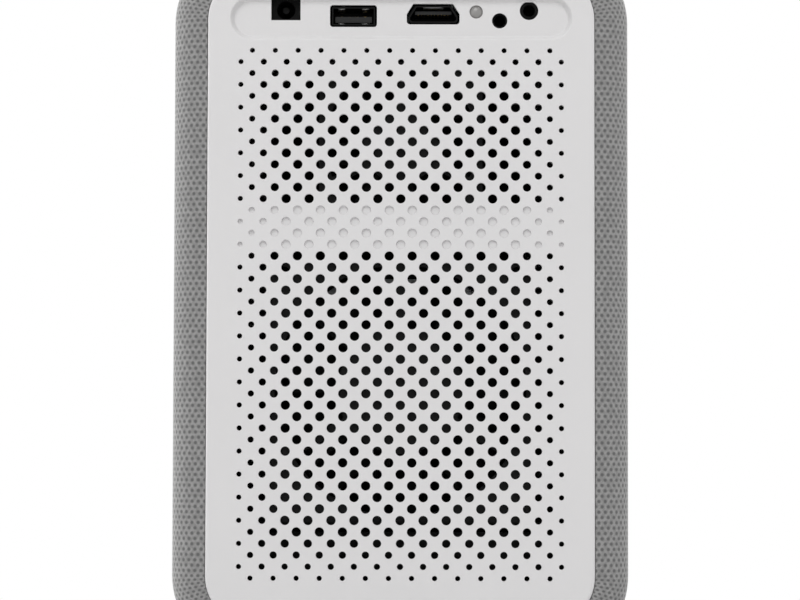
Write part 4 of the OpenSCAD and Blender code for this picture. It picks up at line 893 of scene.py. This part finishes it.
# name, place, size and power in watts
LAMPS = (
    ("rear_soft", (0.5, 2.8, 2.6), (2.6, 2.0), 66),
    ("top_soft", (0.0, 0.0, 1.9), (1.4, 1.4), 5),
    ("left_soft", (1.65, -0.7, 0.25), (1.2, 0.4), 23),
    ("right_soft", (-1.65, -0.5, 0.5), (1.0, 0.9), 10),
    ("front_soft", (-0.4, -1.9, 1.0), (1.6, 1.2), 8),
)


def make_camera():
    """The photograph's view: from behind, a little below the middle, with a long lens."""
    data = bpy.data.cameras.new("camera")
    data.sensor_width = SENSOR_WIDTH
    data.lens = FOCAL_LENGTH
    data.clip_start = NEAREST
    data.shift_x = SHIFT_X
    camera = new_object("camera", data)
    camera.location = CAMERA_PLACE
    level = 90      # degrees from straight down
    camera.rotation_euler = [math.radians(turn) for turn in (level + LOOK_UP, ROLL, HEADING)]
    bpy.context.scene.camera = camera


def make_world():
    """Soft even light, and a white background for the rays that see it directly."""
    world = bpy.data.worlds.new("studio")
    nodes = Nodes(world)
    soft = nodes.node("ShaderNodeBackground", Color=WHITE, Strength=WORLD_LIGHT)
    white = nodes.node("ShaderNodeBackground", Color=WHITE, Strength=1.0)
    mixed = nodes.mix_shaders(nodes.seen_directly(), soft, white)
    nodes.node("ShaderNodeOutputWorld", Surface=mixed.outputs[0])
    bpy.context.scene.world = world


def make_floor():
    """Pale floor that keeps the shadow near the object and fades to the white background."""
    mesh = bpy.data.meshes.new("floor")
    corners = [(-1, -1), (1, -1), (1, 1), (-1, 1)]
    mesh.from_pydata([(x * FLOOR_HALF, y * FLOOR_HALF, 0) for x, y in corners],
                     [], [(0, 1, 2, 3)])
    floor = new_object("floor", mesh)
    floor.location.z = -FLOOR_DROP
    material = bpy.data.materials.new("floor_paper")
    nodes = Nodes(material)
    paper = nodes.node("ShaderNodeBsdfDiffuse", Color=FLOOR_GREY)
    white = nodes.node("ShaderNodeEmission", Color=WHITE, Strength=1.0)
    distance = nodes.tree.nodes.new("ShaderNodeVectorMath")
    distance.operation = "LENGTH"
    nodes.put(distance.inputs[0], nodes.node("ShaderNodeTexCoord").outputs["Object"])
    fade = nodes.ramp(distance.outputs["Value"], FADE_START, FADE_END)
    share = nodes.math("MULTIPLY", fade, nodes.seen_directly())
    mixed = nodes.mix_shaders(share, paper, white)
    nodes.node("ShaderNodeOutputMaterial", Surface=mixed.outputs[0])
    mesh.materials.append(material)


def make_lamps():
    """Soft boxes, all turned towards the object."""
    for name, place, size, power in LAMPS:
        data = bpy.data.lights.new(name, "AREA")
        data.shape = "RECTANGLE"
        data.size, data.size_y = size
        data.energy = power
        lamp = new_object(name, data)
        lamp.location = place
        direction = LAMP_TARGET - Vector(place)
        lamp.rotation_euler = direction.to_track_quat("-Z", "Y").to_euler()


make_camera()
make_world()
make_floor()
make_lamps()
dress_nodes()
make_fabric()
make_usb_details()
make_hdmi_details()
make_jack_details()
make_key_marks()
make_lens_details()
make_leadscrew()
make_pickup_details()
populate("main_board", "main_board", below=True, seed=3, count=60, zone=(-46, 46, 33, 60))
populate("decoder", "decoder_board", below=False, seed=5, count=36, zone=(-28, 28, 13, 68))
bpy.context.scene.view_settings.view_transform = "Standard"
